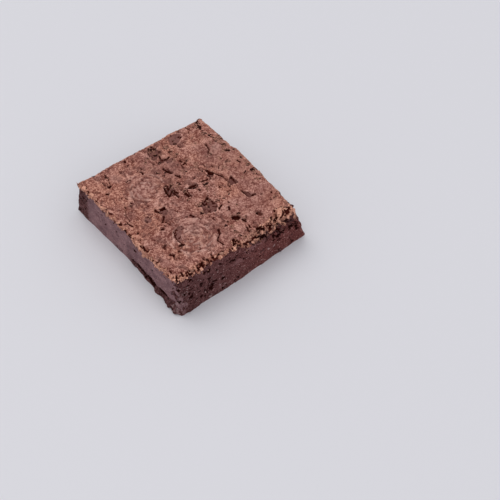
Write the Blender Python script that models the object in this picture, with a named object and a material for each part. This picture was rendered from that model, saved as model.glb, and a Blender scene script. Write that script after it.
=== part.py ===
"""A brownie: one square piece cut from a tray, dense crumb under a thin crackled crust.

Every length below is in millimetres. The finished mesh is scaled to metres in one step.
The piece stands on the plane z = 0. Its four cut sides are named for where they face:
near is -Y, right is +X, far is +Y and left is -X.
"""

import math

import bmesh
import bpy
from mathutils import Vector, noise

METRES_PER_MM = 0.001

# The piece as cut, before its sides lean out
LENGTH = 76.0
WIDTH = 70.0
HEIGHT = 20.5
FLAT_WITHIN = 0.03
GRID_STEP = 0.85
TRIANGLES = 11600

# Each cut side as (place along the side, distance out), at the crust and at the foot
NEAR_CRUST = ((-38, 33.6), (-30, 34.0), (0, 35.0), (20, 35.8), (38, 36.4))
NEAR_FOOT = ((-41, 34.4), (-36, 34.7), (0, 35.1), (15, 36.4), (22, 37.4), (40, 37.7))
RIGHT_CRUST = ((-36, 35.6), (-25, 37.8), (-5, 38.2), (4, 39.6), (22, 40.2), (35, 40.0))
RIGHT_FOOT = ((-37, 40.2), (-20, 41.0), (-5, 41.6), (26, 41.9), (37, 42.1))
FAR_CRUST = ((-34, 36.6), (-22, 36.1), (-14, 35.7), (-11, 36.7), (-4, 36.1), (20, 33.5), (38, 31.2))
FAR_FOOT = ((-38, 38.6), (0, 37.8), (40, 37.2))
LEFT_CRUST = ((-34, 39.0), (-10, 37.7), (5, 36.6), (20, 35.8), (27, 34.4), (36, 34.6))
LEFT_FOOT = ((-35, 42.6), (0, 40.6), (38, 38.4))

# Rounding left by the knife, and the crumbled shoulder along the far half of the right side
CUT_ROUND = 1.0
SHOULDER_ROUND = 6.0
SHOULDER_DEPTH = 0.95
SHOULDER_STARTS = -3.0
SHOULDER_FULL = 8.0
SHOULDER_STEEPEST = 0.97
SHOULDER_SIDE = (30.0, 36.0)
SHOULDER_CRAGS = 0.9
SHOULDER_CRAG_BAND = (7.0, 4.5)
SHOULDER_CRAG_HEIGHTS = (9.5, 13.5)

# The band of broken crust flakes along the rest of the right side's top edge
RIM_BAND = (3.4, 1.8)
RIM_BAND_HEIGHTS = (16.9, 18.4)
RIM_CRAGS = 0.5

# The crust skin: how far down the sides it reaches and how far it stands out past the crumb
CRUST_DEPTH = 2.6
CRUST_LEDGE = 0.5
CRUST_LIP = 0.45
SMEARED_LIP = 0.15

# Layers of natural unevenness, each as height, size across and seed
SHOULDER_EDGE = ((0.8, 5.0, 3.1), (0.5, 2.4, 4.7))
FLAKE_LUMPS = ((1.0, 3.6, 12.4), (0.6, 2.0, 13.8))
CRUST_WAVES = ((0.30, 14.0, 0.6), (0.14, 4.6, 1.9), (0.07, 2.3, 2.7))
CRUST_WANDER = ((0.42, 2.9, 5.3), (0.24, 1.6, 6.1))
CRUST_LINE = ((1.5, 4.0, 9.2),)
LIP_WIDTHS = ((0.9, 5.0, 10.6),)
CRUMB_LUMPS = ((0.44, 6.5, 7.7), (0.30, 2.6, 8.3))

# Swollen rounds in the crust, as x, y, radius, rise, with rings like a thumb print
DOMES = (
    (20.8, -14.1, 10.5, 0.9),
    (-15.5, -11.5, 10.0, 0.45),
    (-20.0, 27.0, 11.0, 0.35),
    (4.0, 29.0, 9.0, 0.3),
)
DOME_TOP = 0.35
RING_SPACING = 2.9
RING_RISE = 0.22

# Places where the crust has broken away, as x, y, length, width, turn in degrees, depth.
# A broken place falls between these shares of its own reach.
BREAK_EDGE = (1.15, 0.75)
BREAKS = (
    (-32.0, 18.7, 7.5, 6.0, 30, 1.1),
    (-30.6, 4.8, 9.5, 6.5, 10, 1.1),
    (-23.3, 6.5, 5.5, 2.2, 30, 0.8),
    (-18.1, 11.2, 4.5, 2.0, 0, 0.6),
    (-15.9, 26.0, 6.0, 1.6, -18, 0.9),
    (-14.5, 3.4, 8.0, 1.9, 12, 0.9),
    (-2.8, 16.2, 6.5, 4.4, 25, 1.4),
    (2.4, 19.8, 7.0, 2.0, 35, 0.9),
    (7.4, 20.8, 5.0, 3.2, -40, 0.9),
    (-2.0, 7.6, 3.4, 8.0, 8, 1.2),
    (0.2, 0.0, 2.0, 5.0, 0, 0.8),
    (11.9, 3.1, 9.0, 8.0, 40, 1.2),
    (18.8, 21.4, 6.5, 3.2, 20, 0.9),
    (25.4, 8.2, 6.5, 3.6, 30, 1.6),
    (30.5, 17.8, 4.0, 2.6, 60, 1.0),
    (-6.4, -4.7, 8.5, 5.4, 15, 0.8),
    (1.6, -15.4, 6.0, 3.8, -40, 0.9),
    (0.5, -23.2, 5.0, 3.4, 10, 0.7),
    (28.6, -5.0, 9.5, 2.2, -38, 0.9),
    (29.5, 0.6, 12.0, 1.5, 20, 0.6),
    (14.3, -17.4, 2.2, 6.0, 20, 0.8),
    (22.4, -21.2, 4.0, 2.8, 0, 0.8),
    (22.4, -28.0, 7.0, 2.6, 10, 0.8),
    (-3.1, -30.0, 8.0, 2.0, 8, 0.6),
    (36.4, -1.8, 3.4, 3.4, 0, 1.0),
    (35.8, 11.8, 4.0, 4.0, 0, 1.3),
)

# Round pits in the crust, as x, y, width, depth, with the same for their edge
PIT_EDGE = (1.25, 0.1)
PIT_WANDER = 0.5
PITS = (
    (-29.7, 16.9, 3.2, 1.8),
    (-2.0, 5.9, 3.2, 2.0),
    (8.3, 3.7, 3.0, 1.8),
    (25.2, 7.8, 3.4, 2.4),
    (18.6, 9.5, 2.6, 1.5),
    (-35.3, -8.8, 2.4, 1.3),
    (-24.7, -7.4, 2.2, 1.2),
    (-33.1, -21.6, 2.8, 1.3),
    (-28.1, -23.8, 2.2, 1.2),
    (11.3, -6.3, 2.4, 1.0),
    (0.3, 31.7, 2.4, 1.2),
    (26.0, 29.0, 3.4, 1.2),
    (36.3, -28.6, 3.0, 1.4),
)

# Hollows and lumps on the cut sides, as x, y, z, reach along x, y and z, and push outwards,
# which fades between these shares of the reach
FORM_EDGE = (1.2, 0.2)
SIDE_FORMS = (
    (9.0, -36.0, 3.2, 5.0, 3.0, 1.8, -1.1),
    (17.5, -37.0, 2.8, 4.4, 3.0, 2.6, -1.9),
    (27.0, -37.4, 4.2, 4.5, 3.0, 1.3, -1.2),
    (2.5, -35.4, 1.2, 4.0, 3.0, 1.8, 0.6),
    (13.0, -36.6, 0.4, 3.2, 3.0, 1.5, 1.0),
    (22.5, -37.2, 0.8, 3.0, 3.0, 2.0, 1.1),
    (31.5, -37.5, 1.4, 5.0, 3.0, 2.2, 1.2),
    (36.5, -38.0, 1.2, 3.0, 2.6, 2.6, 1.5),
    (-25.0, -34.4, 10.0, 1.9, 3.0, 1.5, -0.8),
    (4.0, -35.2, 12.0, 1.6, 3.0, 1.3, -0.6),
    (39.0, -29.0, 12.5, 3.0, 5.0, 2.6, -0.7),
    (39.6, -20.0, 7.4, 3.0, 4.6, 2.4, -0.7),
    (39.6, 2.0, 13.5, 3.0, 3.8, 2.0, -0.8),
    (39.4, 21.5, 17.5, 4.2, 3.2, 3.6, -2.4),
    (40.0, 12.0, 14.6, 3.0, 3.4, 2.4, 0.8),
    (39.2, 29.0, 14.5, 3.4, 3.4, 2.8, 1.0),
    (40.0, 33.5, 9.0, 3.0, 3.4, 2.4, 0.8),
    (20.0, 36.6, 9.0, 5.0, 3.0, 2.6, -0.9),
    (-12.0, 37.2, 5.0, 4.4, 3.0, 2.2, -0.8),
    (-26.0, 37.6, 13.0, 3.6, 3.0, 2.0, -0.7),
    (-40.2, 6.0, 7.0, 3.0, 5.0, 2.4, -0.9),
    (-39.4, -18.0, 12.0, 3.0, 3.4, 1.9, -0.8),
    (-39.2, 24.0, 5.0, 3.0, 4.6, 2.2, -0.8),
)

# The near side, smeared by the blade to this share of the crumb's roughness, and where its
# foot tore: the places along x where each begins, and the heights where the tear ends
SMEARED_SHARE = 0.35
SMEARED_FACING = (0.4, 0.8)
SMEAR_STARTS = (-34.0, -31.0)
TEAR_STARTS = (-3.0, 4.0)
TEAR_HEIGHTS = (5.5, 3.0)

CRUMB_COLOUR = (0.075, 0.030, 0.026, 1.0)
CRUMB_SURFACE_ROUGHNESS = 0.75


def eased(low, high, value):
    """0 at low, 1 at high and an even S between them. low may be the larger."""
    share = min(max((value - low) / (high - low), 0.0), 1.0)
    return share * share * (3.0 - 2.0 * share)


def distance_out(stations, along):
    """How far out a side lies at this place along it, straight between its stations."""
    if along <= stations[0][0]:
        return stations[0][1]
    for (start, first), (end, last) in zip(stations, stations[1:]):
        if along <= end:
            return first + (last - first) * (along - start) / (end - start)
    return stations[-1][1]


def grain(point, size, seed):
    """Smooth noise from -1 to 1 whose lumps are about this size across."""
    return noise.noise(Vector(point) / size + Vector((seed, 2.0 * seed, -seed)))


def uneven(point, layers):
    """The sum at this point of layers of smooth noise."""
    return sum(height * grain(point, size, seed) for height, size, seed in layers)


def gridded_block():
    """A box of the cut size, standing on z = 0, with a square grid on every face."""
    block = bmesh.new()
    bmesh.ops.create_cube(block, size=1.0)
    bmesh.ops.scale(block, vec=(LENGTH, WIDTH, HEIGHT), verts=block.verts)
    bmesh.ops.translate(block, vec=(0.0, 0.0, HEIGHT / 2), verts=block.verts)
    for axis, size in enumerate((LENGTH, WIDTH, HEIGHT)):
        along_axis = [
            edge
            for edge in block.edges
            if abs(edge.verts[0].co[axis] - edge.verts[1].co[axis]) > size / 2
        ]
        cuts = round(size / GRID_STEP) - 1
        bmesh.ops.subdivide_edges(block, edges=along_axis, cuts=cuts, use_grid_fill=True)
    return block


def rounded(point):
    """The box's point moved onto edges rounded by the knife. The foot stays square."""
    inner = Vector(
        (
            min(max(point.x, CUT_ROUND - LENGTH / 2), LENGTH / 2 - CUT_ROUND),
            min(max(point.y, CUT_ROUND - WIDTH / 2), WIDTH / 2 - CUT_ROUND),
            min(point.z, HEIGHT - CUT_ROUND),
        )
    )
    reach = point - inner
    if reach.length <= CUT_ROUND:
        return point
    return inner + reach.normalized() * CUT_ROUND


def leaned(point):
    """The box's point carried out to the real sides, which lean out towards the foot."""
    up = point.z / HEIGHT
    near = distance_out(NEAR_FOOT, point.x) * (1 - up) + distance_out(NEAR_CRUST, point.x) * up
    far = distance_out(FAR_FOOT, point.x) * (1 - up) + distance_out(FAR_CRUST, point.x) * up
    right = distance_out(RIGHT_FOOT, point.y) * (1 - up) + distance_out(RIGHT_CRUST, point.y) * up
    left = distance_out(LEFT_FOOT, point.y) * (1 - up) + distance_out(LEFT_CRUST, point.y) * up
    across = 0.5 + point.x / LENGTH
    away = 0.5 + point.y / WIDTH
    return Vector((-left + (left + right) * across, -near + (near + far) * away, point.z))


def crumbled(y):
    """1 where the right side's top edge has crumbled, 0 where it is still as cut."""
    return eased(SHOULDER_STARTS, SHOULDER_FULL, y)


def shoulder_drop(x, y):
    """How far the crumbled shoulder has fallen below the top of the crust."""
    inward = x - distance_out(RIGHT_CRUST, y) + SHOULDER_ROUND + uneven((x, y, 0.0), SHOULDER_EDGE)
    share = min(max(inward / SHOULDER_ROUND, 0.0), SHOULDER_STEEPEST)
    fallen = SHOULDER_ROUND * (1.0 - math.sqrt(1.0 - share * share))
    return fallen * crumbled(y) * SHOULDER_DEPTH


def rim_crag(point):
    """Lumps and gaps of broken crust on the crumbled shoulder and along the right rim."""
    inward = distance_out(RIGHT_CRUST, point.y) - point.x
    rim = eased(*RIM_BAND, inward) * eased(*RIM_BAND_HEIGHTS, point.z)
    shoulder = eased(*SHOULDER_CRAG_BAND, inward) * eased(*SHOULDER_CRAG_HEIGHTS, point.z)
    shoulder *= crumbled(point.y)
    return uneven(point, FLAKE_LUMPS) * max(RIM_CRAGS * rim, SHOULDER_CRAGS * shoulder)


def crust_rise(x, y):
    """The crust's own relief: gentle waves, swollen rounds, broken patches and pits."""
    spot = Vector((x, y))
    rise = uneven((x, y, 0.0), CRUST_WAVES)
    wander = uneven((x, y, 0.0), CRUST_WANDER)
    for centre_x, centre_y, radius, height in DOMES:
        far_off = (spot - Vector((centre_x, centre_y))).length
        swell = eased(radius, DOME_TOP * radius, far_off)
        rings = RING_RISE * math.cos(math.tau * (far_off + 2.0 * wander) / RING_SPACING)
        rise += height * swell + rings * swell * height
    for centre_x, centre_y, length, width, turn, depth in BREAKS:
        off = spot - Vector((centre_x, centre_y))
        if off.length > max(length, width):
            continue
        cos, sin = math.cos(math.radians(turn)), math.sin(math.radians(turn))
        along = (off.x * cos + off.y * sin) / (length / 2)
        across = (off.y * cos - off.x * sin) / (width / 2)
        rise -= depth * eased(*BREAK_EDGE, math.hypot(along, across) + wander)
    for centre_x, centre_y, width, depth in PITS:
        far_off = (spot - Vector((centre_x, centre_y))).length / (width / 2)
        rise -= depth * eased(*PIT_EDGE, far_off + PIT_WANDER * wander)
    return rise


def side_push(point, outward):
    """How far the crumb of a cut side stands out from its lean, or in where it is hollow."""
    smeared = eased(*SMEARED_FACING, -outward.y) * eased(*SMEAR_STARTS, point.x)
    torn = eased(*TEAR_STARTS, point.x) * eased(*TEAR_HEIGHTS, point.z)
    push = uneven(point, CRUMB_LUMPS) * (1.0 - (1.0 - SMEARED_SHARE) * smeared * (1.0 - torn))
    for x, y, z, reach_x, reach_y, reach_z, out in SIDE_FORMS:
        off = Vector(((point.x - x) / reach_x, (point.y - y) / reach_y, (point.z - z) / reach_z))
        push += out * eased(*FORM_EDGE, off.length)
    top = HEIGHT - shoulder_drop(point.x, point.y) * eased(*SHOULDER_SIDE, point.x)
    line = top - CRUST_DEPTH - uneven((point.x, point.y, 0.0), CRUST_LINE)
    lip = SMEARED_LIP if smeared > 0.5 else CRUST_LIP
    lip *= 1.0 + uneven((point.x, point.y, 0.0), LIP_WIDTHS)
    return push + lip * eased(line - CRUST_LEDGE, line + CRUST_LEDGE, point.z)


def shape(block):
    """Carries the block's grid to the real form: sides, shoulder, crumb and crust."""
    for vertex in block.verts:
        vertex.co = leaned(rounded(vertex.co))
        share = vertex.co.z / HEIGHT
        vertex.co.z -= share * shoulder_drop(vertex.co.x, vertex.co.y)
    block.normal_update()
    moves = []
    for vertex in block.verts:
        outward = Vector((vertex.normal.x, vertex.normal.y, 0.0))
        move = outward * side_push(vertex.co, outward)
        if vertex.normal.z > 0.0 and vertex.co.z > HEIGHT / 3:
            move.z += vertex.normal.z * crust_rise(vertex.co.x, vertex.co.y)
        move += vertex.normal * rim_crag(vertex.co)
        moves.append(move)
    for vertex, move in zip(block.verts, moves):
        vertex.co += move
    block.normal_update()


def with_plain_foot(mesh):
    """Makes the underside one flat face, so that only its outline costs triangles."""
    solid = bmesh.new()
    solid.from_mesh(mesh)
    for vertex in solid.verts:
        if abs(vertex.co.z) < FLAT_WITHIN:
            vertex.co.z = 0.0
    foot = [face for face in solid.faces if all(corner.co.z == 0.0 for corner in face.verts)]
    bmesh.ops.dissolve_faces(solid, faces=foot, use_verts=False)
    bmesh.ops.triangulate(solid, faces=solid.faces)
    solid.to_mesh(mesh)
    solid.free()


def thinned(mesh, collection):
    """A copy of the mesh with its triangles spent where the form needs them."""
    helper = bpy.data.objects.new("fine_brownie", mesh)
    collection.objects.link(helper)
    triangles_now = sum(len(face.vertices) - 2 for face in mesh.polygons)
    decimate = helper.modifiers.new("thin", "DECIMATE")
    decimate.ratio = TRIANGLES / triangles_now
    decimate.use_collapse_triangulate = True
    graph = bpy.context.evaluated_depsgraph_get()
    result = bpy.data.meshes.new_from_object(helper.evaluated_get(graph))
    bpy.data.objects.remove(helper)
    return result


def stand_on_origin(mesh):
    """Moves the mesh so that the middle of its box stands on the origin, in metres."""
    lows = [min(vertex.co[axis] for vertex in mesh.vertices) for axis in range(3)]
    highs = [max(vertex.co[axis] for vertex in mesh.vertices) for axis in range(3)]
    foot = Vector(((lows[0] + highs[0]) / 2, (lows[1] + highs[1]) / 2, lows[2]))
    for vertex in mesh.vertices:
        vertex.co = (vertex.co - foot) * METRES_PER_MM


def crumb_material():
    material = bpy.data.materials.new("baked_chocolate_crumb")
    material.use_nodes = True
    shader = material.node_tree.nodes["Principled BSDF"]
    shader.inputs["Base Color"].default_value = CRUMB_COLOUR
    shader.inputs["Roughness"].default_value = CRUMB_SURFACE_ROUGHNESS
    shader.inputs["Metallic"].default_value = 0.0
    return material


def make_brownie(collection):
    block = gridded_block()
    shape(block)
    fine = bpy.data.meshes.new("fine_brownie")
    block.to_mesh(fine)
    block.free()
    mesh = thinned(fine, collection)
    mesh.name = "brownie"
    bpy.data.meshes.remove(fine)
    with_plain_foot(mesh)
    stand_on_origin(mesh)
    mesh.materials.append(crumb_material())
    brownie = bpy.data.objects.new("brownie", mesh)
    collection.objects.link(brownie)
    return brownie


def clear_scene():
    for old in list(bpy.data.objects):
        bpy.data.objects.remove(old)


clear_scene()
parts = bpy.data.collections.new("brownie_parts")
bpy.context.scene.collection.children.link(parts)
make_brownie(parts)
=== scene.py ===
import math

import bmesh
import bpy
import numpy as np
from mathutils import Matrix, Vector, kdtree, noise


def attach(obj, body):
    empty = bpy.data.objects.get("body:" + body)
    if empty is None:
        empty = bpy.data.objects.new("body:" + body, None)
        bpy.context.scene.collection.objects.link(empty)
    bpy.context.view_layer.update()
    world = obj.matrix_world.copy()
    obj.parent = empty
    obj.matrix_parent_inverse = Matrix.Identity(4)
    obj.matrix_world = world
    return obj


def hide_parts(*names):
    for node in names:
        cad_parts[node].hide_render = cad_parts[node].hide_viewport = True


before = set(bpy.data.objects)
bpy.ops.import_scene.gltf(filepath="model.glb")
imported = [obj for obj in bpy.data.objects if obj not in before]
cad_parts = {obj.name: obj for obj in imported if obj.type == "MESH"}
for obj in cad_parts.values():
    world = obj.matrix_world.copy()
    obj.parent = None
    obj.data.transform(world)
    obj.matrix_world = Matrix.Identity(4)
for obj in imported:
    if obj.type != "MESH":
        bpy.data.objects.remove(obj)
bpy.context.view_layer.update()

# The view
# A long lens looks down on the corner between the near side (-Y) and the right side (+X).
VIEW_TURN = math.radians(48.5)
VIEW_HEIGHT = math.radians(51.0)
VIEW_DISTANCE = 0.544
VIEW_CENTRE = Vector((0.0444, 0.0004, 0.0203))
LENS = 87.48
FILM_WIDTH = 36.0

bpy.ops.object.select_all(action="DESELECT")
toward_viewer = Vector((
    math.sin(VIEW_TURN) * math.cos(VIEW_HEIGHT),
    -math.cos(VIEW_TURN) * math.cos(VIEW_HEIGHT),
    math.sin(VIEW_HEIGHT),
))
bpy.ops.object.camera_add(location=VIEW_CENTRE + toward_viewer * VIEW_DISTANCE)
camera = bpy.context.object
camera.rotation_euler = toward_viewer.to_track_quat("Z", "Y").to_euler()
camera.data.lens = LENS
camera.data.sensor_width = FILM_WIDTH
bpy.context.scene.camera = camera
bpy.context.scene.view_settings.view_transform = "Standard"

# The light
# Daylight from all round, as bright as the floor it falls on, with a broad soft window to the
# left that rakes over the crust and leaves the right side darkest, and a weak one opposite.
SKY_COLOUR = (0.610, 0.618, 0.65, 1.0)
# Each window's strength, and its width, turn and height in degrees
WINDOWS = ((0.78, 45.0, -90.0, 58.0), (0.32, 90.0, 80.0, 30.0))

sky = bpy.data.worlds.new("sky")
sky.use_nodes = True
sky.node_tree.nodes["Background"].inputs["Color"].default_value = SKY_COLOUR
bpy.context.scene.world = sky

for strength, width, turn, height in WINDOWS:
    bpy.ops.object.light_add(type="SUN")
    window = bpy.context.object
    window.name = "window"
    window.data.energy = strength
    window.data.angle = math.radians(width)
    turn, height = math.radians(turn), math.radians(height)
    toward_window = Vector((
        math.sin(turn) * math.cos(height), math.cos(turn) * math.cos(height), math.sin(height)
    ))
    window.rotation_euler = toward_window.to_track_quat("Z", "Y").to_euler()

# The floor
# A plain pale glazed surface that the brownie stands on.
FLOOR_WIDTH = 24.0
FLOOR_COLOUR = (0.770, 0.760, 0.785, 1.0)
FLOOR_ROUGHNESS = 0.5
FLOOR_GLOSS = 0.3


class Tone:
    """A socket of one material. Sums of tones and numbers add the Math nodes they need."""

    def __init__(self, tree, socket):
        self.tree = tree
        self.socket = socket

    def node(self, kind, settings, inputs, output=0):
        """Adds a node to this material: its settings first, then its sockets' values or links."""
        made = self.tree.nodes.new(kind)
        for name, value in settings.items():
            if name == "stops":
                for stop, (place, colour) in zip(made.color_ramp.elements, value):
                    stop.position = place
                    stop.color = colour
                for place, colour in value[len(made.color_ramp.elements):]:
                    made.color_ramp.elements.new(place).color = colour
            else:
                setattr(made, name, value)
        for name, value in inputs.items():
            if isinstance(value, Tone):
                self.tree.links.new(value.socket, made.inputs[name])
            else:
                made.inputs[name].default_value = value
        return Tone(self.tree, made.outputs[output])

    def sum(self, operation, first, second):
        return self.node("ShaderNodeMath", {"operation": operation}, {0: first, 1: second})

    def __add__(self, other):
        return self.sum("ADD", self, other)

    def __sub__(self, other):
        return self.sum("SUBTRACT", self, other)

    def __rsub__(self, other):
        return self.sum("SUBTRACT", other, self)

    def __mul__(self, other):
        return self.sum("MULTIPLY", self, other)

    __radd__ = __add__
    __rmul__ = __mul__

    def step(self, low, high):
        """0 below low, 1 above high and a smooth step between them."""
        return self.node(
            "ShaderNodeMapRange",
            {"interpolation_type": "SMOOTHSTEP"},
            {"Value": self, "From Min": low, "From Max": high},
        )

    def blend(self, dark, light):
        """A colour this share of the way from dark to light."""
        return self.node("ShaderNodeMix", {"data_type": "RGBA"}, {0: self, 6: dark, 7: light}, 2)

    def noise(self, size, detail=2.0, roughness=0.5):
        """Noise from 0 to 1 over these places, with lumps of this size in metres."""
        return self.node(
            "ShaderNodeTexNoise",
            {},
            {"Vector": self, "Scale": 1.0 / size, "Detail": detail, "Roughness": roughness},
        )

    def tint(self, colour):
        """This colour multiplied by another."""
        settings = {"data_type": "RGBA", "blend_type": "MULTIPLY"}
        return self.node("ShaderNodeMix", settings, {0: 1.0, 6: self, 7: colour}, 2)

    def attribute(self, name):
        return self.node(
            "ShaderNodeAttribute", {"attribute_type": "GEOMETRY", "attribute_name": name}, {}, 2
        )

    def bump(self, size, strength=0.7, depth=0.0003):
        """Roughens the shader's surface with fine noise of this size over these places."""
        settings = {"Strength": strength, "Distance": depth, "Height": self.noise(size, 3.0)}
        self.node("ShaderNodeBump", {}, settings).feed("Normal")

    def feed(self, name):
        """Links this tone to the material's own shader."""
        self.tree.links.new(self.socket, self.tree.nodes["Principled BSDF"].inputs[name])


def new_finish(name, roughness, gloss):
    """A material, and the tone that holds the object coordinates in it."""
    material = bpy.data.materials.new(name)
    material.use_nodes = True
    tree = material.node_tree
    shader = tree.nodes["Principled BSDF"]
    shader.inputs["Roughness"].default_value = roughness
    shader.inputs["Specular IOR Level"].default_value = gloss
    return material, Tone(tree, tree.nodes.new("ShaderNodeTexCoord").outputs["Object"])


bpy.ops.object.select_all(action="DESELECT")
bpy.ops.mesh.primitive_plane_add(size=FLOOR_WIDTH)
floor = bpy.context.object
floor.name = "floor"
glaze, place = new_finish("pale_glaze", FLOOR_ROUGHNESS, FLOOR_GLOSS)
glaze.node_tree.nodes["Principled BSDF"].inputs["Base Color"].default_value = FLOOR_COLOUR
floor.data.materials.append(glaze)

# The crumb
# The baked batter: dense, dark and fudgy. The knife left three of its sides open and porous and
# dragged the near one smooth. The near side's foot tore as the piece was lifted from the tray.
METRES_PER_MM = 0.001
FOOT_SHIFT = (0.313, 0.402)
LENGTH = 76.0
WIDTH = 70.0
HEIGHT = 20.5
FINE_STEP = 0.27
TOUCHING = 0.01
SMOOTH_ANGLE = math.radians(60.0)

NEAR_CRUST = ((-38, 33.6), (-30, 34.0), (0, 35.0), (20, 35.8), (38, 36.4))
NEAR_FOOT = ((-41, 34.4), (-36, 34.7), (0, 35.1), (15, 36.4), (22, 37.4), (40, 37.7))
RIGHT_CRUST = ((-36, 35.6), (-25, 37.8), (-5, 38.2), (4, 39.6), (22, 40.2), (35, 40.0))
RIGHT_FOOT = ((-37, 40.2), (-20, 41.0), (-5, 41.6), (26, 41.9), (37, 42.1))
FAR_CRUST = ((-34, 36.6), (-22, 36.1), (-14, 35.7), (-11, 36.7), (-4, 36.1), (20, 33.5), (38, 31.2))
FAR_FOOT = ((-38, 38.6), (0, 37.8), (40, 37.2))
LEFT_CRUST = ((-34, 39.0), (-10, 37.7), (5, 36.6), (20, 35.8), (27, 34.4), (36, 34.6))
LEFT_FOOT = ((-35, 42.6), (0, 40.6), (38, 38.4))

CUT_ROUND = 1.0
SHOULDER_ROUND = 6.0
SHOULDER_DEPTH = 0.95
SHOULDER_STARTS = -3.0
SHOULDER_FULL = 8.0
SHOULDER_STEEPEST = 0.97
SHOULDER_CRAGS = 0.7
SHOULDER_CRAG_BAND = (7.0, 4.5)
SHOULDER_CRAG_HEIGHTS = (9.5, 13.5)
RIM_BAND = (3.4, 1.8)
RIM_BAND_HEIGHTS = (16.9, 18.4)
RIM_CRAGS = 0.5

# Layers of natural unevenness, each as height, size across and seed
SHOULDER_EDGE = ((0.8, 5.0, 3.1), (0.5, 2.4, 4.7))
FLAKE_LUMPS = ((1.0, 3.6, 12.4), (0.6, 2.0, 13.8))
CRUMB_LUMPS = ((0.44, 6.5, 7.7), (0.30, 2.6, 8.3))
CRUMB_GRAINS = ((0.11, 1.5, 21.3), (0.14, 0.75, 22.9))
SMEAR_STREAKS = ((0.10, 2.2, 23.7),)
LINE_TEARS = ((0.5, 3.4, 16.1), (0.45, 1.3, 17.9))

# How far below the top edge the crust's ragged lower line lies, along each side
NEAR_LINE = (
    (-38, 1.6), (-30, 1.3), (-25, 2.2), (-12, 2.6), (0, 2.2), (6, 3.4), (12, 4.6), (25, 3.4), (38, 3.0)
)
RIGHT_LINE = ((-36, 0.9), (-8, 0.9), (0, 1.4), (5, 1.8), (20, 2.2), (30, 2.8), (36, 2.4))
FAR_LINE = ((-38, 2.0), (0, 2.4), (38, 1.8))
LEFT_LINE = ((-35, 2.2), (0, 1.8), (35, 2.4))
LINE_REACH = 1.2

# Hollows and lumps on the cut sides, as x, y, z, reach along x, y and z, and push outwards
SIDE_FORMS = (
    (9.0, -36.0, 3.2, 5.0, 3.0, 1.8, -1.1), (17.5, -37.0, 2.8, 4.4, 3.0, 2.6, -1.9),
    (27.0, -37.4, 4.2, 4.5, 3.0, 1.3, -1.2), (2.5, -35.4, 1.2, 4.0, 3.0, 1.8, 0.1),
    (13.0, -36.6, 0.4, 3.2, 3.0, 1.5, 0.4), (22.5, -37.2, 0.8, 3.0, 3.0, 2.0, 1.1),
    (31.5, -37.5, 1.4, 5.0, 3.0, 2.2, 1.2), (36.5, -38.0, 1.2, 3.0, 2.6, 2.6, 1.5),
    (-25.0, -34.4, 10.0, 1.9, 3.0, 1.5, -0.8), (4.0, -35.2, 12.0, 1.6, 3.0, 1.3, -0.6),
    (39.0, -29.0, 12.5, 3.0, 5.0, 2.6, -0.7), (39.6, -20.0, 7.4, 3.0, 4.6, 2.4, -0.7),
    (39.6, 2.0, 13.5, 3.0, 3.8, 2.0, -0.8), (39.4, 21.5, 17.5, 4.2, 3.2, 3.6, -2.4),
    (40.0, 12.0, 14.6, 3.0, 3.4, 2.4, 0.8), (39.2, 29.0, 14.5, 3.4, 3.4, 2.8, 1.0),
    (40.0, 33.5, 9.0, 3.0, 3.4, 2.4, 0.8), (39.6, 32.4, 15.4, 4.0, 4.4, 5.0, 0.6),
    (40.6, 33.0, 12.4, 4.0, 4.4, 3.6, 0.5), (20.0, 36.6, 9.0, 5.0, 3.0, 2.6, -0.9),
    (-12.0, 37.2, 5.0, 4.4, 3.0, 2.2, -0.8), (-26.0, 37.6, 13.0, 3.6, 3.0, 2.0, -0.7),
    (-40.2, 6.0, 7.0, 3.0, 5.0, 2.4, -0.9), (-39.4, -18.0, 12.0, 3.0, 3.4, 1.9, -0.8),
    (-39.2, 24.0, 5.0, 3.0, 4.6, 2.2, -0.8),
)
FORM_EDGE = (1.2, 0.2)
SMEARED_SHARE = 0.35
SMEARED_SMOOTH = 0.88
STREAK_LENGTH = 6.0
SMEARED_FACING = (0.4, 0.8)
SMEAR_STARTS = (-34.0, -31.0)
TEAR_STARTS = (-3.0, 4.0)
TEAR_HEIGHTS = (5.5, 3.0)

# Places on the right side that the blade smeared, as x, y, z, reach along y and z, strength
SMEAR_PATCHES = (
    (40.0, 6.0, 14.2, 5.5, 2.0, 0.8), (40.0, -3.0, 11.0, 4.0, 1.4, 0.4),
    (40.5, -35.5, 7.0, 2.4, 8.0, 0.9),
)
SMEAR_PATCH_DEPTH = 3.0
SMEAR_PATCH_EDGE = (1.1, 0.6)
SMEAR_PATCH_FRAY = ((0.6, 1.4, 24.9),)

# Where the crumb's own rim hides under the crust
RIM_UNDER_CRUST = 0.5
RIM_INSET = 1.0
RIM_FALL = 4.0

# Pores: how many, their least and largest radius and how strongly small ones prevail, and the
# places where they crowd, as x, y, z, spread and weight
PORES = 1000
PORE_SEED = 11
PORE_SIZES = (0.32, 1.1, 5)
PORE_FRAY = ((0.7, 0.8, 25.1),)
PORE_REACH = 1.3
PORE_DEPTH = 1.1
PORES_START = (0.2, 1.2)
# Where painted shade starts and is full: by a pore's depth, and by how far in a torn hollow lies
PORE_SHADE = (0.10, 0.40)
TEAR_SHADE = (-0.1, -0.6)
# Painted light and shade on the crumb's grains: paler on raised ones, darker between
GRAIN_LIGHT_AND_SHADE = 2.6
CROWDED_PORES = (
    (39.5, -29.0, 12.0, 4.0, 4.0), (40.0, -20.0, 7.0, 4.5, 4.0), (39.5, 2.0, 13.0, 3.0, 4.0),
    (-37.0, -33.0, 10.0, 4.5, 6.0), (39.5, 20.0, 14.0, 5.0, 6.0), (39.5, 30.0, 12.0, 6.0, 6.0),
)

# The lower far part of the right side, where the blade closed most of the pores: past this x
# and y, below this z, and the share that stayed open
CLOSED_PORES = (30.0, -12.0, 10.0, 0.4)

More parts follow.
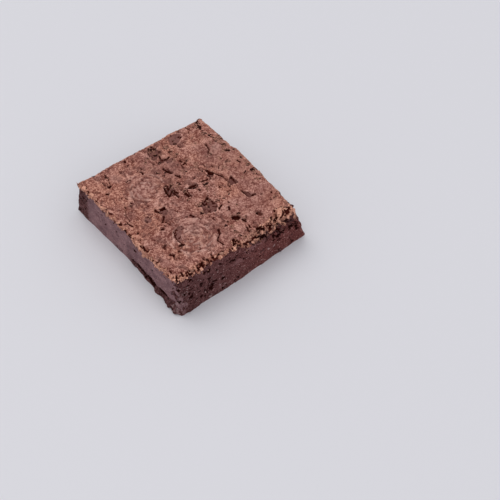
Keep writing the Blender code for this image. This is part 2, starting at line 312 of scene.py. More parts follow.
# Pale bits of crumb, as x, y, z and radius
PALE_BITS = (
    (40.4, -20.6, 1.2, 1.0), (40.6, 1.8, 14.8, 0.9), (40.6, -1.8, 15.8, 0.8), (40.6, 17.4, 6.8, 1.0),
    (40.8, 14.4, 6.9, 0.7), (40.8, 13.2, 3.8, 0.8), (40.8, 9.2, 3.1, 0.8), (38.4, -33.4, 11.0, 1.4),
)
BIT_FRAY = ((0.5, 0.7, 26.3),)

# Gritty scuffed places, as x, y, z, radius and strength
SCUFFED = (
    (36.5, -37.0, 4.0, 6.5, 0.7), (39.0, -35.5, 11.0, 3.6, 0.6), (40.4, -14.0, 2.0, 4.0, 0.4)
)
GRIT = ((1.0, 0.8, 27.1),)
GRIT_STEP = (0.12, 0.34)

# The oven browned the far end of the right side more, as far as these places along y and x
WARM_ALONG = (-30.0, 30.0)
WARM_ACROSS = (28.0, 38.0)

# Larger holes seen one by one, as x, y, z and radius
SEEN_HOLES = (
    (-25.6, -34.6, 9.6, 0.6), (-21.6, -34.8, 10.0, 0.6), (4.2, -35.2, 11.6, 1.0), (40.6, 20.5, 11.6, 1.7),
    (40.6, 23.5, 12.2, 1.3), (40.4, 28.5, 12.0, 1.5), (40.4, 31.8, 9.8, 1.3), (40.4, 14.0, 13.4, 1.1),
    (40.0, 2.5, 13.6, 1.0), (39.6, -24.5, 11.0, 1.0), (39.2, -29.5, 12.6, 0.9), (40.2, -20.2, 7.2, 0.9),
    (40.2, -23.2, 6.4, 0.9),
)


def eased(low, high, value):
    """0 at low, 1 at high and an even S between them. low may be the larger."""
    share = np.clip((value - low) / (high - low), 0.0, 1.0)
    return share * share * (3.0 - 2.0 * share)


def distance_out(stations, along):
    """How far out a side lies at these places along it, straight between its stations."""
    places, distances = zip(*stations)
    return np.interp(along, places, distances)


def grain(points, size, seed):
    """Smooth noise from -1 to 1 at each point, whose lumps are about this size across."""
    shifted = points / size + np.array((seed, 2.0 * seed, -seed))
    return np.array([noise.noise(spot) for spot in shifted.tolist()])


def uneven(points, layers):
    """The sum at each point of layers of smooth noise."""
    return sum(height * grain(points, size, seed) for height, size, seed in layers)


def flattened(points):
    """The same points at height 0, for relief that follows the top's plan."""
    return points * np.array((1.0, 1.0, 0.0))


def rounded(points):
    """The block's points moved onto edges rounded by the knife. The foot stays square."""
    inner = np.stack((
        np.clip(points[:, 0], CUT_ROUND - LENGTH / 2, LENGTH / 2 - CUT_ROUND),
        np.clip(points[:, 1], CUT_ROUND - WIDTH / 2, WIDTH / 2 - CUT_ROUND),
        np.minimum(points[:, 2], HEIGHT - CUT_ROUND),
    ), 1)
    reach = points - inner
    length = np.linalg.norm(reach, axis=1, keepdims=True)
    return inner + reach * np.minimum(1.0, CUT_ROUND / np.maximum(length, CUT_ROUND))


def side_out(foot, crust, along, up):
    """How far out a leaning side lies at these shares of the way up from its foot to its crust."""
    return distance_out(foot, along) * (1 - up) + distance_out(crust, along) * up


def leaned(points):
    """The block's points carried out to the real sides, which lean out towards the foot."""
    x, y, z = points.T
    up = z / HEIGHT
    near = side_out(NEAR_FOOT, NEAR_CRUST, x, up)
    far = side_out(FAR_FOOT, FAR_CRUST, x, up)
    right = side_out(RIGHT_FOOT, RIGHT_CRUST, y, up)
    left = side_out(LEFT_FOOT, LEFT_CRUST, y, up)
    across = 0.5 + x / LENGTH
    away = 0.5 + y / WIDTH
    return np.stack((-left + (left + right) * across, -near + (near + far) * away, z), 1)


def crumbled(y):
    """1 where the right side's top edge has crumbled, 0 where it is still as cut."""
    return eased(SHOULDER_STARTS, SHOULDER_FULL, y)


def shoulder_drop(points):
    """How far the crumbled shoulder has fallen below the top of the crust."""
    x, y = points[:, 0], points[:, 1]
    ragged = uneven(flattened(points), SHOULDER_EDGE)
    inward = x - distance_out(RIGHT_CRUST, y) + SHOULDER_ROUND + ragged
    share = np.clip(inward / SHOULDER_ROUND, 0.0, SHOULDER_STEEPEST)
    return SHOULDER_ROUND * (1.0 - np.sqrt(1.0 - share * share)) * crumbled(y) * SHOULDER_DEPTH


def rim_band(points):
    """1 on the broken crust along the right side's top edge, 0 away from it."""
    inward = distance_out(RIGHT_CRUST, points[:, 1]) - points[:, 0]
    return eased(*RIM_BAND, inward) * eased(*RIM_BAND_HEIGHTS, points[:, 2])


def shoulder_band(points):
    """1 on the crumbled shoulder, 0 away from it."""
    inward = distance_out(RIGHT_CRUST, points[:, 1]) - points[:, 0]
    band = eased(*SHOULDER_CRAG_BAND, inward) * eased(*SHOULDER_CRAG_HEIGHTS, points[:, 2])
    return band * crumbled(points[:, 1])


def rim_crag(points):
    """Lumps and gaps of broken crust on the crumbled shoulder and along the right rim."""
    share = np.maximum(RIM_CRAGS * rim_band(points), SHOULDER_CRAGS * shoulder_band(points))
    return uneven(points, FLAKE_LUMPS) * share


def smeared(points, outward):
    """1 on the near side where the blade smeared the crumb."""
    return eased(*SMEARED_FACING, -outward[:, 1]) * eased(*SMEAR_STARTS, points[:, 0])


def torn(points):
    """1 along the stretch of the foot that tore."""
    return eased(*TEAR_STARTS, points[:, 0]) * eased(*TEAR_HEIGHTS, points[:, 2])


def side_push(points, outward):
    """How far the crumb of a cut side stands out from its lean, or in where it is hollow."""
    smooth = smeared(points, outward) * (1.0 - torn(points))
    push = uneven(points, CRUMB_LUMPS) * (1.0 - (1.0 - SMEARED_SHARE) * smooth)
    for form in SIDE_FORMS:
        off = (points - np.array(form[:3])) / np.array(form[3:6])
        push += form[6] * eased(*FORM_EDGE, np.linalg.norm(off, axis=1))
    return push


def crust_line(points):
    """How far below the top edge the crust ends at these places round the piece."""
    x, y = points[:, 0], points[:, 1]
    gaps = np.stack((
        y + distance_out(NEAR_CRUST, x),
        distance_out(RIGHT_CRUST, y) - x,
        distance_out(FAR_CRUST, x) - y,
        x + distance_out(LEFT_CRUST, y),
    ))
    lines = np.stack((
        distance_out(NEAR_LINE, x),
        distance_out(RIGHT_LINE, y),
        distance_out(FAR_LINE, x),
        distance_out(LEFT_LINE, y),
    ))
    nearness = np.exp((gaps.min(axis=0) - gaps) / LINE_REACH)
    depth = (lines * nearness).sum(axis=0) / nearness.sum(axis=0)
    return depth * (1.0 + uneven(flattened(points), LINE_TEARS))


def drawn_places(draw, weight, count):
    """So many different points, drawn so that each is as likely as its weight."""
    return draw.choice(len(weight), count, replace=False, p=weight / weight.sum())


def drawn_size(draw, least, largest, power):
    """A size between two. The higher the power, the more of the sizes are small."""
    return least + (largest - least) * draw.random() ** power


def points_of(piece):
    """The piece's mesh points, as an array with a row for each."""
    points = np.empty(len(piece.data.vertices) * 3)
    piece.data.vertices.foreach_get("co", points)
    return points.reshape(-1, 3)


def set_points(piece, points):
    piece.data.vertices.foreach_set("co", points.ravel())
    piece.data.update()


def normals_of(piece):
    """The way that the surface faces at each point of the piece."""
    normals = np.empty(len(piece.data.vertices) * 3)
    piece.data.vertex_normals.foreach_get("vector", normals)
    return normals.reshape(-1, 3)


def paint(piece, **layers):
    """Keeps layers of values, one for each point, on the mesh for the material to read."""
    for name, values in layers.items():
        layer = piece.data.attributes.new(name, "FLOAT", "POINT")
        layer.data.foreach_set("value", np.clip(values, 0.0, 1.0).astype(np.float32))


def gap_from(points, spot):
    """How far each point lies from a spot, which has a height or is a place in the plan."""
    return np.linalg.norm(points[:, :len(spot)] - np.array(spot), axis=1)


def to_place(piece):
    """Moves the finished mesh from the slab's millimetres to its place in metres."""
    points = points_of(piece) + np.array((*FOOT_SHIFT, 0.0))
    set_points(piece, points * METRES_PER_MM)


def select_edges(piece, chosen):
    """Selects the edges, in edit mode, whose two ends pass this test, and no others."""
    bpy.ops.mesh.select_mode(type="EDGE")
    bpy.ops.mesh.select_all(action="DESELECT")
    cage = bmesh.from_edit_mesh(piece.data)
    for edge in cage.edges:
        edge.select_set(chosen(edge.verts[0].co, edge.verts[1].co))
    bmesh.update_edit_mesh(piece.data)


def split_edges(piece, axis, length):
    """Splits the long edges along an axis into even steps."""
    select_edges(piece, lambda first, last: abs(first[axis] - last[axis]) > length / 2)
    bpy.ops.mesh.subdivide(number_cuts=round(length / FINE_STEP) - 1)


def settle_order(piece):
    """Leaves edit mode with the mesh's points and faces in one fixed order, so all runs agree."""
    bpy.ops.object.mode_set(mode="OBJECT")
    places = [tuple(round(value, 3) for value in vertex.co) for vertex in piece.data.vertices]
    order = sorted(range(len(places)), key=places.__getitem__)
    rank = {old: new for new, old in enumerate(order)}
    faces = []
    for face in piece.data.polygons:
        corners = [rank[corner] for corner in face.vertices]
        first = corners.index(min(corners))
        faces.append(corners[first:] + corners[:first])
    piece.data.clear_geometry()
    piece.data.from_pydata([places[old] for old in order], [], sorted(faces))
    piece.data.update()


def slab_outline(points):
    """Block points carried to the lean of the sides and down to the crumbled shoulder."""
    points = leaned(rounded(points))
    points[:, 2] -= points[:, 2] / HEIGHT * shoulder_drop(points)
    return points


# A wire outline, filled, raised row by row to the crust, and turned in and down under it
bpy.ops.object.select_all(action="DESELECT")
bpy.ops.mesh.primitive_plane_add(size=1.0)
crumb = bpy.context.object
crumb.name = "crumb"
bpy.ops.object.mode_set(mode="EDIT")
bpy.ops.transform.resize(value=(LENGTH, WIDTH, 1.0))
bpy.ops.mesh.delete(type="ONLY_FACE")
split_edges(crumb, 0, LENGTH)
split_edges(crumb, 1, WIDTH)
bpy.ops.mesh.select_all(action="SELECT")
bpy.ops.mesh.edge_face_add()
side_rows = round(HEIGHT / FINE_STEP)
row_up = {"value": (0.0, 0.0, HEIGHT / side_rows)}
for _ in range(side_rows):
    bpy.ops.mesh.extrude_region_move(TRANSFORM_OT_translate=row_up)
bpy.ops.mesh.inset(thickness=RIM_INSET)
bpy.ops.transform.translate(value=(0.0, 0.0, -RIM_FALL))
bpy.ops.mesh.select_all(action="SELECT")
bpy.ops.mesh.normals_make_consistent(inside=False)
settle_order(crumb)

block = points_of(crumb)
on_side = np.abs(block[:, 0]) > LENGTH / 2 - TOUCHING
on_side |= np.abs(block[:, 1]) > WIDTH / 2 - TOUCHING
on_foot = block[:, 2] < TOUCHING
block[on_side, 2] *= 1.0 - RIM_UNDER_CRUST * crust_line(block[on_side]) / HEIGHT
points = slab_outline(block)
set_points(crumb, points)
outward = normals_of(crumb) * np.array((1.0, 1.0, 0.0)) * on_side[:, None]
smooth = smeared(points, outward) * (1.0 - torn(points))
for x, y, z, along, high, strength in SMEAR_PATCHES:
    off = (points - np.array((x, y, z))) / np.array((SMEAR_PATCH_DEPTH, along, high))
    reach = np.linalg.norm(off, axis=1) + uneven(points, SMEAR_PATCH_FRAY)
    smooth = np.maximum(smooth, strength * eased(*SMEAR_PATCH_EDGE, reach))
rough = 1.0 - SMEARED_SMOOTH * smooth
push = side_push(points, outward)
grains = uneven(points, CRUMB_GRAINS)
push += rough * grains
push += smooth * uneven(points / np.array((1.0, 1.0, STREAK_LENGTH)), SMEAR_STREAKS)
normals = normals_of(crumb)
points += outward * push[:, None] + normals * (rim_crag(points) * on_side)[:, None]
points[:, 2] = np.where(on_foot, 0.0, np.maximum(points[:, 2], 0.0))
set_points(crumb, points)

# Pores, each a round hollow pressed in along the surface
draw = np.random.default_rng(PORE_SEED)
normals = normals_of(crumb)
weight = on_side * rough * eased(*PORES_START, points[:, 2])
for x, y, z, spread, crowd in CROWDED_PORES:
    weight += weight * crowd * eased(spread, 0.3 * spread, gap_from(points, (x, y, z)))
x, y, z, open_share = CLOSED_PORES
closed = (points[:, 0] > x) & (points[:, 1] > y) & (points[:, 2] < z)
weight *= np.where(closed, open_share, 1.0)
chosen = drawn_places(draw, weight, PORES)
pores = [(points[index], drawn_size(draw, *PORE_SIZES)) for index in chosen]
pores += [(np.array(hole[:3]), hole[3]) for hole in SEEN_HOLES]
fray = 1.0 + uneven(points, PORE_FRAY)
finder = kdtree.KDTree(len(points))
for index, spot in enumerate(points.tolist()):
    finder.insert(spot, index)
finder.balance()
pore_depth = np.zeros(len(points))
for spot, radius in pores:
    for _, index, gap in finder.find_range(spot, PORE_REACH * radius):
        hollow = (1.0 - (gap / radius * fray[index]) ** 2) * radius * PORE_DEPTH
        pore_depth[index] = max(pore_depth[index], hollow)
points -= normals * (pore_depth * on_side)[:, None]
points[:, 2] = np.where(on_foot, 0.0, np.maximum(points[:, 2], 0.0))
set_points(crumb, points)
scuff = np.zeros(len(points))
for x, y, z, radius in PALE_BITS:
    gap = gap_from(points, (x, y, z)) + uneven(points, BIT_FRAY)
    scuff = np.maximum(scuff, eased(radius, 0.6 * radius, gap))
grit = eased(*GRIT_STEP, uneven(points, GRIT))
for x, y, z, radius, strength in SCUFFED:
    spread = eased(radius, 0.4 * radius, gap_from(points, (x, y, z)))
    scuff = np.maximum(scuff, strength * grit * spread)
paint(
    crumb,
    smear=smooth,
    # Painted shade in the deep pores and in the hollows of the torn foot
    hollow=eased(*PORE_SHADE, pore_depth) + torn(points) * eased(*TEAR_SHADE, push),
    # Painted light and shade: paler on raised grains, darker between them
    lump=0.5 + GRAIN_LIGHT_AND_SHADE * grains,
    scuff=scuff,
    warm=eased(*WARM_ALONG, points[:, 1]) * eased(*WARM_ACROSS, points[:, 0]),
)
to_place(crumb)
bpy.ops.object.shade_smooth_by_angle(angle=SMOOTH_ANGLE)

BATTER_ROUGHNESS = 0.6
BATTER_GLOSS = 0.03
# The deep colour is painted shade, for pores, hollows and the voids of the broken rim
CRUMB_DEEP_SHADE = (0.020, 0.002, 0.001, 1.0)
CRUMB_DARK = (0.046, 0.012, 0.012, 1.0)
CRUMB_LIGHT = (0.205, 0.090, 0.088, 1.0)
CRUMB_GLINT = (0.480, 0.330, 0.320, 1.0)
NO_TINT = (1.0, 1.0, 1.0, 1.0)
WARM_TINT = (1.30, 1.02, 0.94, 1.0)
# The smeared near side: a greyer film of fat, with the blade's sheen painted in as paler grey
SMEAR_SHEEN_DARK = (0.138, 0.068, 0.076, 1.0)
SMEAR_SHEEN_LIGHT = (0.375, 0.208, 0.212, 1.0)

batter, place = new_finish("baked_batter", BATTER_ROUGHNESS, BATTER_GLOSS)
speckle = place.noise(0.0005, 3.0, 0.7)
mottle = place.noise(0.004)
# Random speckle and mottle, with painted light and shade from the grains in lump
bare = (place.attribute("lump") * 0.4 + speckle * 2.4 + mottle * 0.6 - 1.2).step(0.0, 1.1)
bare = bare.blend(CRUMB_DARK, CRUMB_LIGHT)
# A greyer fat film on the smeared side, with its sheen painted in as paler grey
film_and_sheen = (speckle * 1.4 + mottle * 0.9 - 0.7).step(0.05, 0.95).blend(SMEAR_SHEEN_DARK, SMEAR_SHEEN_LIGHT)
surface = place.attribute("smear").blend(bare, film_and_sheen)
surface = (place.noise(0.0008, 1.0).step(0.66, 0.72) * 0.65).blend(surface, CRUMB_GLINT)
surface = surface.tint(place.attribute("warm").blend(NO_TINT, WARM_TINT))
surface = (place.attribute("scuff") * 0.7).blend(surface, CRUMB_GLINT)
# Painted shade, near-black in the deeper pores and the torn foot's hollows
surface = place.attribute("hollow").step(0.1, 0.8).blend(surface, CRUMB_DEEP_SHADE)
surface.feed("Base Color")
place.bump(0.0005)
crumb.data.materials.append(batter)
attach(crumb, "root")
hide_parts("brownie")

# The crust
# A papery skin of sugar and egg, well under a millimetre thick, that set before the batter did.
# It crinkled into fine ridges as it dried, cracked, and chipped away in places to the crumb.
SKIRT_ROWS = 12
SKIRT_DIVE = 1.0
CLOSED_UNDER = 6.0
SMEARED_LIP = 0.15
CRUST_LIP = 0.45
LIP_WIDTHS = ((0.9, 5.0, 10.6),)

# Layers of natural unevenness, each as height, size across and seed
CRUST_WAVES = ((0.30, 14.0, 0.6), (0.14, 4.6, 1.9), (0.07, 2.3, 2.7))
CRUST_WANDER = ((0.42, 2.9, 5.3), (0.24, 1.6, 6.1))
FRAY = ((0.34, 1.1, 30.9), (0.22, 0.6, 31.7))
FINE_CRINKLES = ((0.36, 1.4, 41.2), (0.48, 0.7, 42.6))
CHIPS = ((1.0, 3.6, 43.9), (0.5, 1.4, 44.3), (0.35, 0.7, 44.9))
CLOTS = ((1.0, 1.5, 29.3), (0.5, 0.7, 28.7))
RUBBLE = ((0.30, 1.3, 45.7), (0.24, 0.7, 46.9))
RIM_LUMPS = ((0.55, 1.5, 47.3), (0.45, 0.8, 48.1))
RIM_VOIDS = ((0.8, 2.8, 55.1), (0.7, 1.2, 56.3), (0.6, 0.65, 57.9))

# Where the smooth skin ends along the right side, as y and x. Broken pieces of it lie beyond
SKIN_EDGE = (
    (-36, 33.0), (-30, 34.4), (-20, 34.8), (-12, 35.6), (-8, 37.2), (-4.4, 37.4), (-3.6, 34.4),
    (-0.6, 34.4), (0.6, 38.2), (4, 38.8), (9, 38.2), (10.5, 36.2), (12.5, 35.4), (15, 36.6),
    (18, 36.3), (20.5, 35.8), (23, 34.4), (25, 33.2), (28, 34.4), (30, 36.2), (33, 35.4)
)

# The height at which pieces of skin give way to bare crumb on the crumbled side, as y and height
SKIN_ENDS = (
    (-8, 18.9), (-3, 18.6), (5, 18.6), (10, 18.2), (14, 17.6), (17, 16.9), (20, 16.7), (26, 17.4),
    (33, 18.6)
)
SKIN_FADES = 3.4
NEAR_FLAKES = (1.5, 0.7)

# Swollen rounds in the crust, as x, y, radius, rise and how strongly threads swirl round them
DOMES = (
    (20.8, -14.1, 10.5, 0.9, 1.9), (-15.5, -11.5, 10.0, 0.45, 0.9), (-20.0, 27.0, 11.0, 0.35, 0.2),
    (4.0, 29.0, 9.0, 0.3, 0.2),
)
SWELL_FULL = 0.35
RING_SPACING = 2.9
RING_RISE = 0.22
RING_WANDER = 2.0

# Threads that wind round each swollen round: their wander, how tightly they wrap, where they thin
# out, as shares of its radius, and their layers of noise. The pale wisps have a size and a seed
THREAD_WANDER = 0.9
THREAD_WRAP = 2.6
THREADS_THIN = (1.25, 0.8)
THREADS = ((0.5, 0.8, 33.1), (0.9, 1.5, 34.7))
WISPS = (1.3, 35.3)
WISP_STEP = (0.12, 0.42)
THREAD_RISE = 0.17

# Crinkles: how far and how widely their lines are warped, where the skin was crushed finer, and
# the two sets of ridges, as strength, spacing and seed
WARP = 1.7
WARP_SIZE = 5.5
CRUSHED = ((1.0, 8.0, 37.9),)
CRUSHED_STEP = (-0.35, 0.35)
WIDE_CREASES = (0.25, 2.0, 38.8)
TIGHT_CREASES = (0.35, 1.1, 39.6)
CREASE_SHARPNESS = 3.2
CRINKLE_RISE = 0.17
CRINKLE_MIDDLE = 0.3
CALM_FLATTENS = 0.3

# Places where the skin has broken away, as depth, how light their floor is, and their outline
BROKEN_PLACES = (
    (0.7, 0.8, (
        (-32.6, 22.1), (-30.5, 21.5), (-29.0, 18.9), (-28.4, 16.0), (-29.9, 14.1), (-32.0, 15.8),
        (-34.5, 16.4), (-35.2, 18.9), (-34.1, 21.0),
    )),
    (1.0, 0.45, (
        (-35.8, 7.1), (-33.7, 7.6), (-31.4, 7.5), (-29.9, 8.8), (-28.8, 7.7), (-28.0, 5.9),
        (-27.4, 4.2), (-26.5, 2.7), (-27.0, 2.1), (-29.5, 1.7), (-31.6, 2.4), (-33.3, 2.6),
        (-35.4, 4.6),
    )),
    (0.9, 0.15, (
        (-28.4, 6.6), (-26.4, 5.6), (-25.3, 5.9), (-24.4, 7.4), (-24.8, 9.4), (-23.9, 9.3),
        (-23.3, 6.7), (-23.1, 4.2), (-24.4, 3.6), (-26.2, 4.6), (-27.8, 5.4),
    )),
    (0.6, 0.65, ((-23.2, 9.6), (-21.4, 9.4), (-20.8, 7.0), (-21.6, 5.4), (-22.9, 6.0))),
    (1.2, 0.45, (
        (-6.1, 16.8), (-3.8, 17.1), (-2.5, 18.3), (-1.5, 17.3), (-0.4, 15.6), (-0.2, 14.3),
        (-2.1, 14.5), (-4.2, 16.0),
    )),
    (1.1, 0.4, (
        (-1.5, 8.0), (-0.4, 6.7), (-0.2, 5.0), (-1.2, 3.3), (-2.5, 2.5), (-3.1, 4.2), (-2.7, 6.3),
    )),
    (0.6, 0.4, (
        (4.2, 23.3), (9.9, 23.1), (9.6, 21.4), (8.6, 19.6), (6.4, 19.7), (5.0, 21.2),
    )),
    (0.9, 0.6, (
        (7.5, 5.9), (9.8, 6.6), (13.1, 6.8), (15.4, 5.9), (16.3, 3.1), (15.8, 1.2), (14.9, -1.1),
        (13.5, -1.3), (11.7, -0.1), (9.4, 0.8), (8.2, 3.1),
    )),
    (1.0, 0.65, (
        (-1.3, -12.7), (1.5, -13.0), (3.2, -14.4), (3.5, -16.0), (1.5, -16.5), (0.0, -16.8),
        (-1.3, -15.0),
    )),
    (0.5, 0.75, (
        (12.3, -15.9), (12.6, -14.4), (14.0, -13.8), (15.2, -14.6), (15.6, -16.6), (17.6, -18.4),
        (20.8, -20.0), (18.0, -20.5), (15.3, -19.6), (13.0, -18.4),
    )),
    (0.8, 0.5, ((21.1, -20.6), (23.1, -20.3), (23.3, -22.3), (21.2, -22.5))),
    (0.3, 0.9, (
        (-1.6, -21.8), (1.0, -21.5), (2.3, -23.4), (1.4, -25.0), (-0.8, -24.8), (-1.8, -23.4),
    )),
    (0.5, 0.55, ((-14.6, -22.4), (-11.2, -21.7), (-11.7, -24.6))),
    (0.4, 0.5, (
        (-11.2, -3.6), (-9.4, -2.6), (-5.8, -2.2), (-2.6, -3.2), (-4.0, -7.2), (-8.2, -6.9),
        (-10.6, -5.6),
    )),
    (0.5, 0.35, (
        (15.6, 20.9), (17.4, 22.6), (19.3, 22.6), (20.0, 24.6), (21.2, 24.0), (20.8, 20.6),
        (18.4, 20.1), (15.8, 20.0),
    )),
    (0.8, 0.7, (
        (33.9, 0.2), (35.5, -0.6), (37.6, -0.2), (39.6, -1.4), (39.4, -3.8), (36.8, -4.0),
        (34.8, -2.6),
    )),
)

# The edge of a broken place: its fray, the step at its rim, the lip round it, and the wall inside
BROKEN_FRAY = 0.7
BROKEN_STEP = (-0.15, 0.15)
LIP_BAND = (-1.1, -0.3)
LIP_RISE = 0.10
# The painted shade on the wall inside, and the dark clots on the floor
WALL_BAND = (0.9, 0.3)
WALL_SHADE = 0.42
CLOT_STEP = (0.38, 0.54)

# The way to a hole's far left, where its wall is painted in shade, as from the window
SHADED_SIDE = np.array((-0.8, 0.6))

# Thin chips and shed pieces of skin, the seams between pieces, and short sharp nicks
CHIP_STEP = (0.42, 0.48)
CHIP_CALM = 0.6
CHIP_DEPTH = 0.30
PIECE_BEND = 0.22
SITE_SPREAD = 91.7
PIECE_SIZE = 1.9
PIECE_SEED = 51.3
SHED_HEIGHT = 0.32
SHED_CALM = 0.5
SHED_PATCHES = ((0.45, 6.0, 52.6),)
SHED_STEP = (0.55, 0.62)
SHED_RIM = (0.0, 0.14)
SEAM_WIDTH = (0.20, 0.05)
SEAM_PATCHES = ((1.0, 3.1, 53.2),)
SEAM_STEP = (0.25, 0.42)
SEAM_CALM = 0.4
SEAM_DEPTH = 0.25
NICK_LINES = (3.4, 49.1)
NICK_WIDTH = (0.78, 0.92)
NICK_PATCHES = ((1.0, 1.9, 50.3),)
NICK_STEP = (0.27, 0.36)
NICK_CALM = 0.3
NICK_DEPTH = 0.40
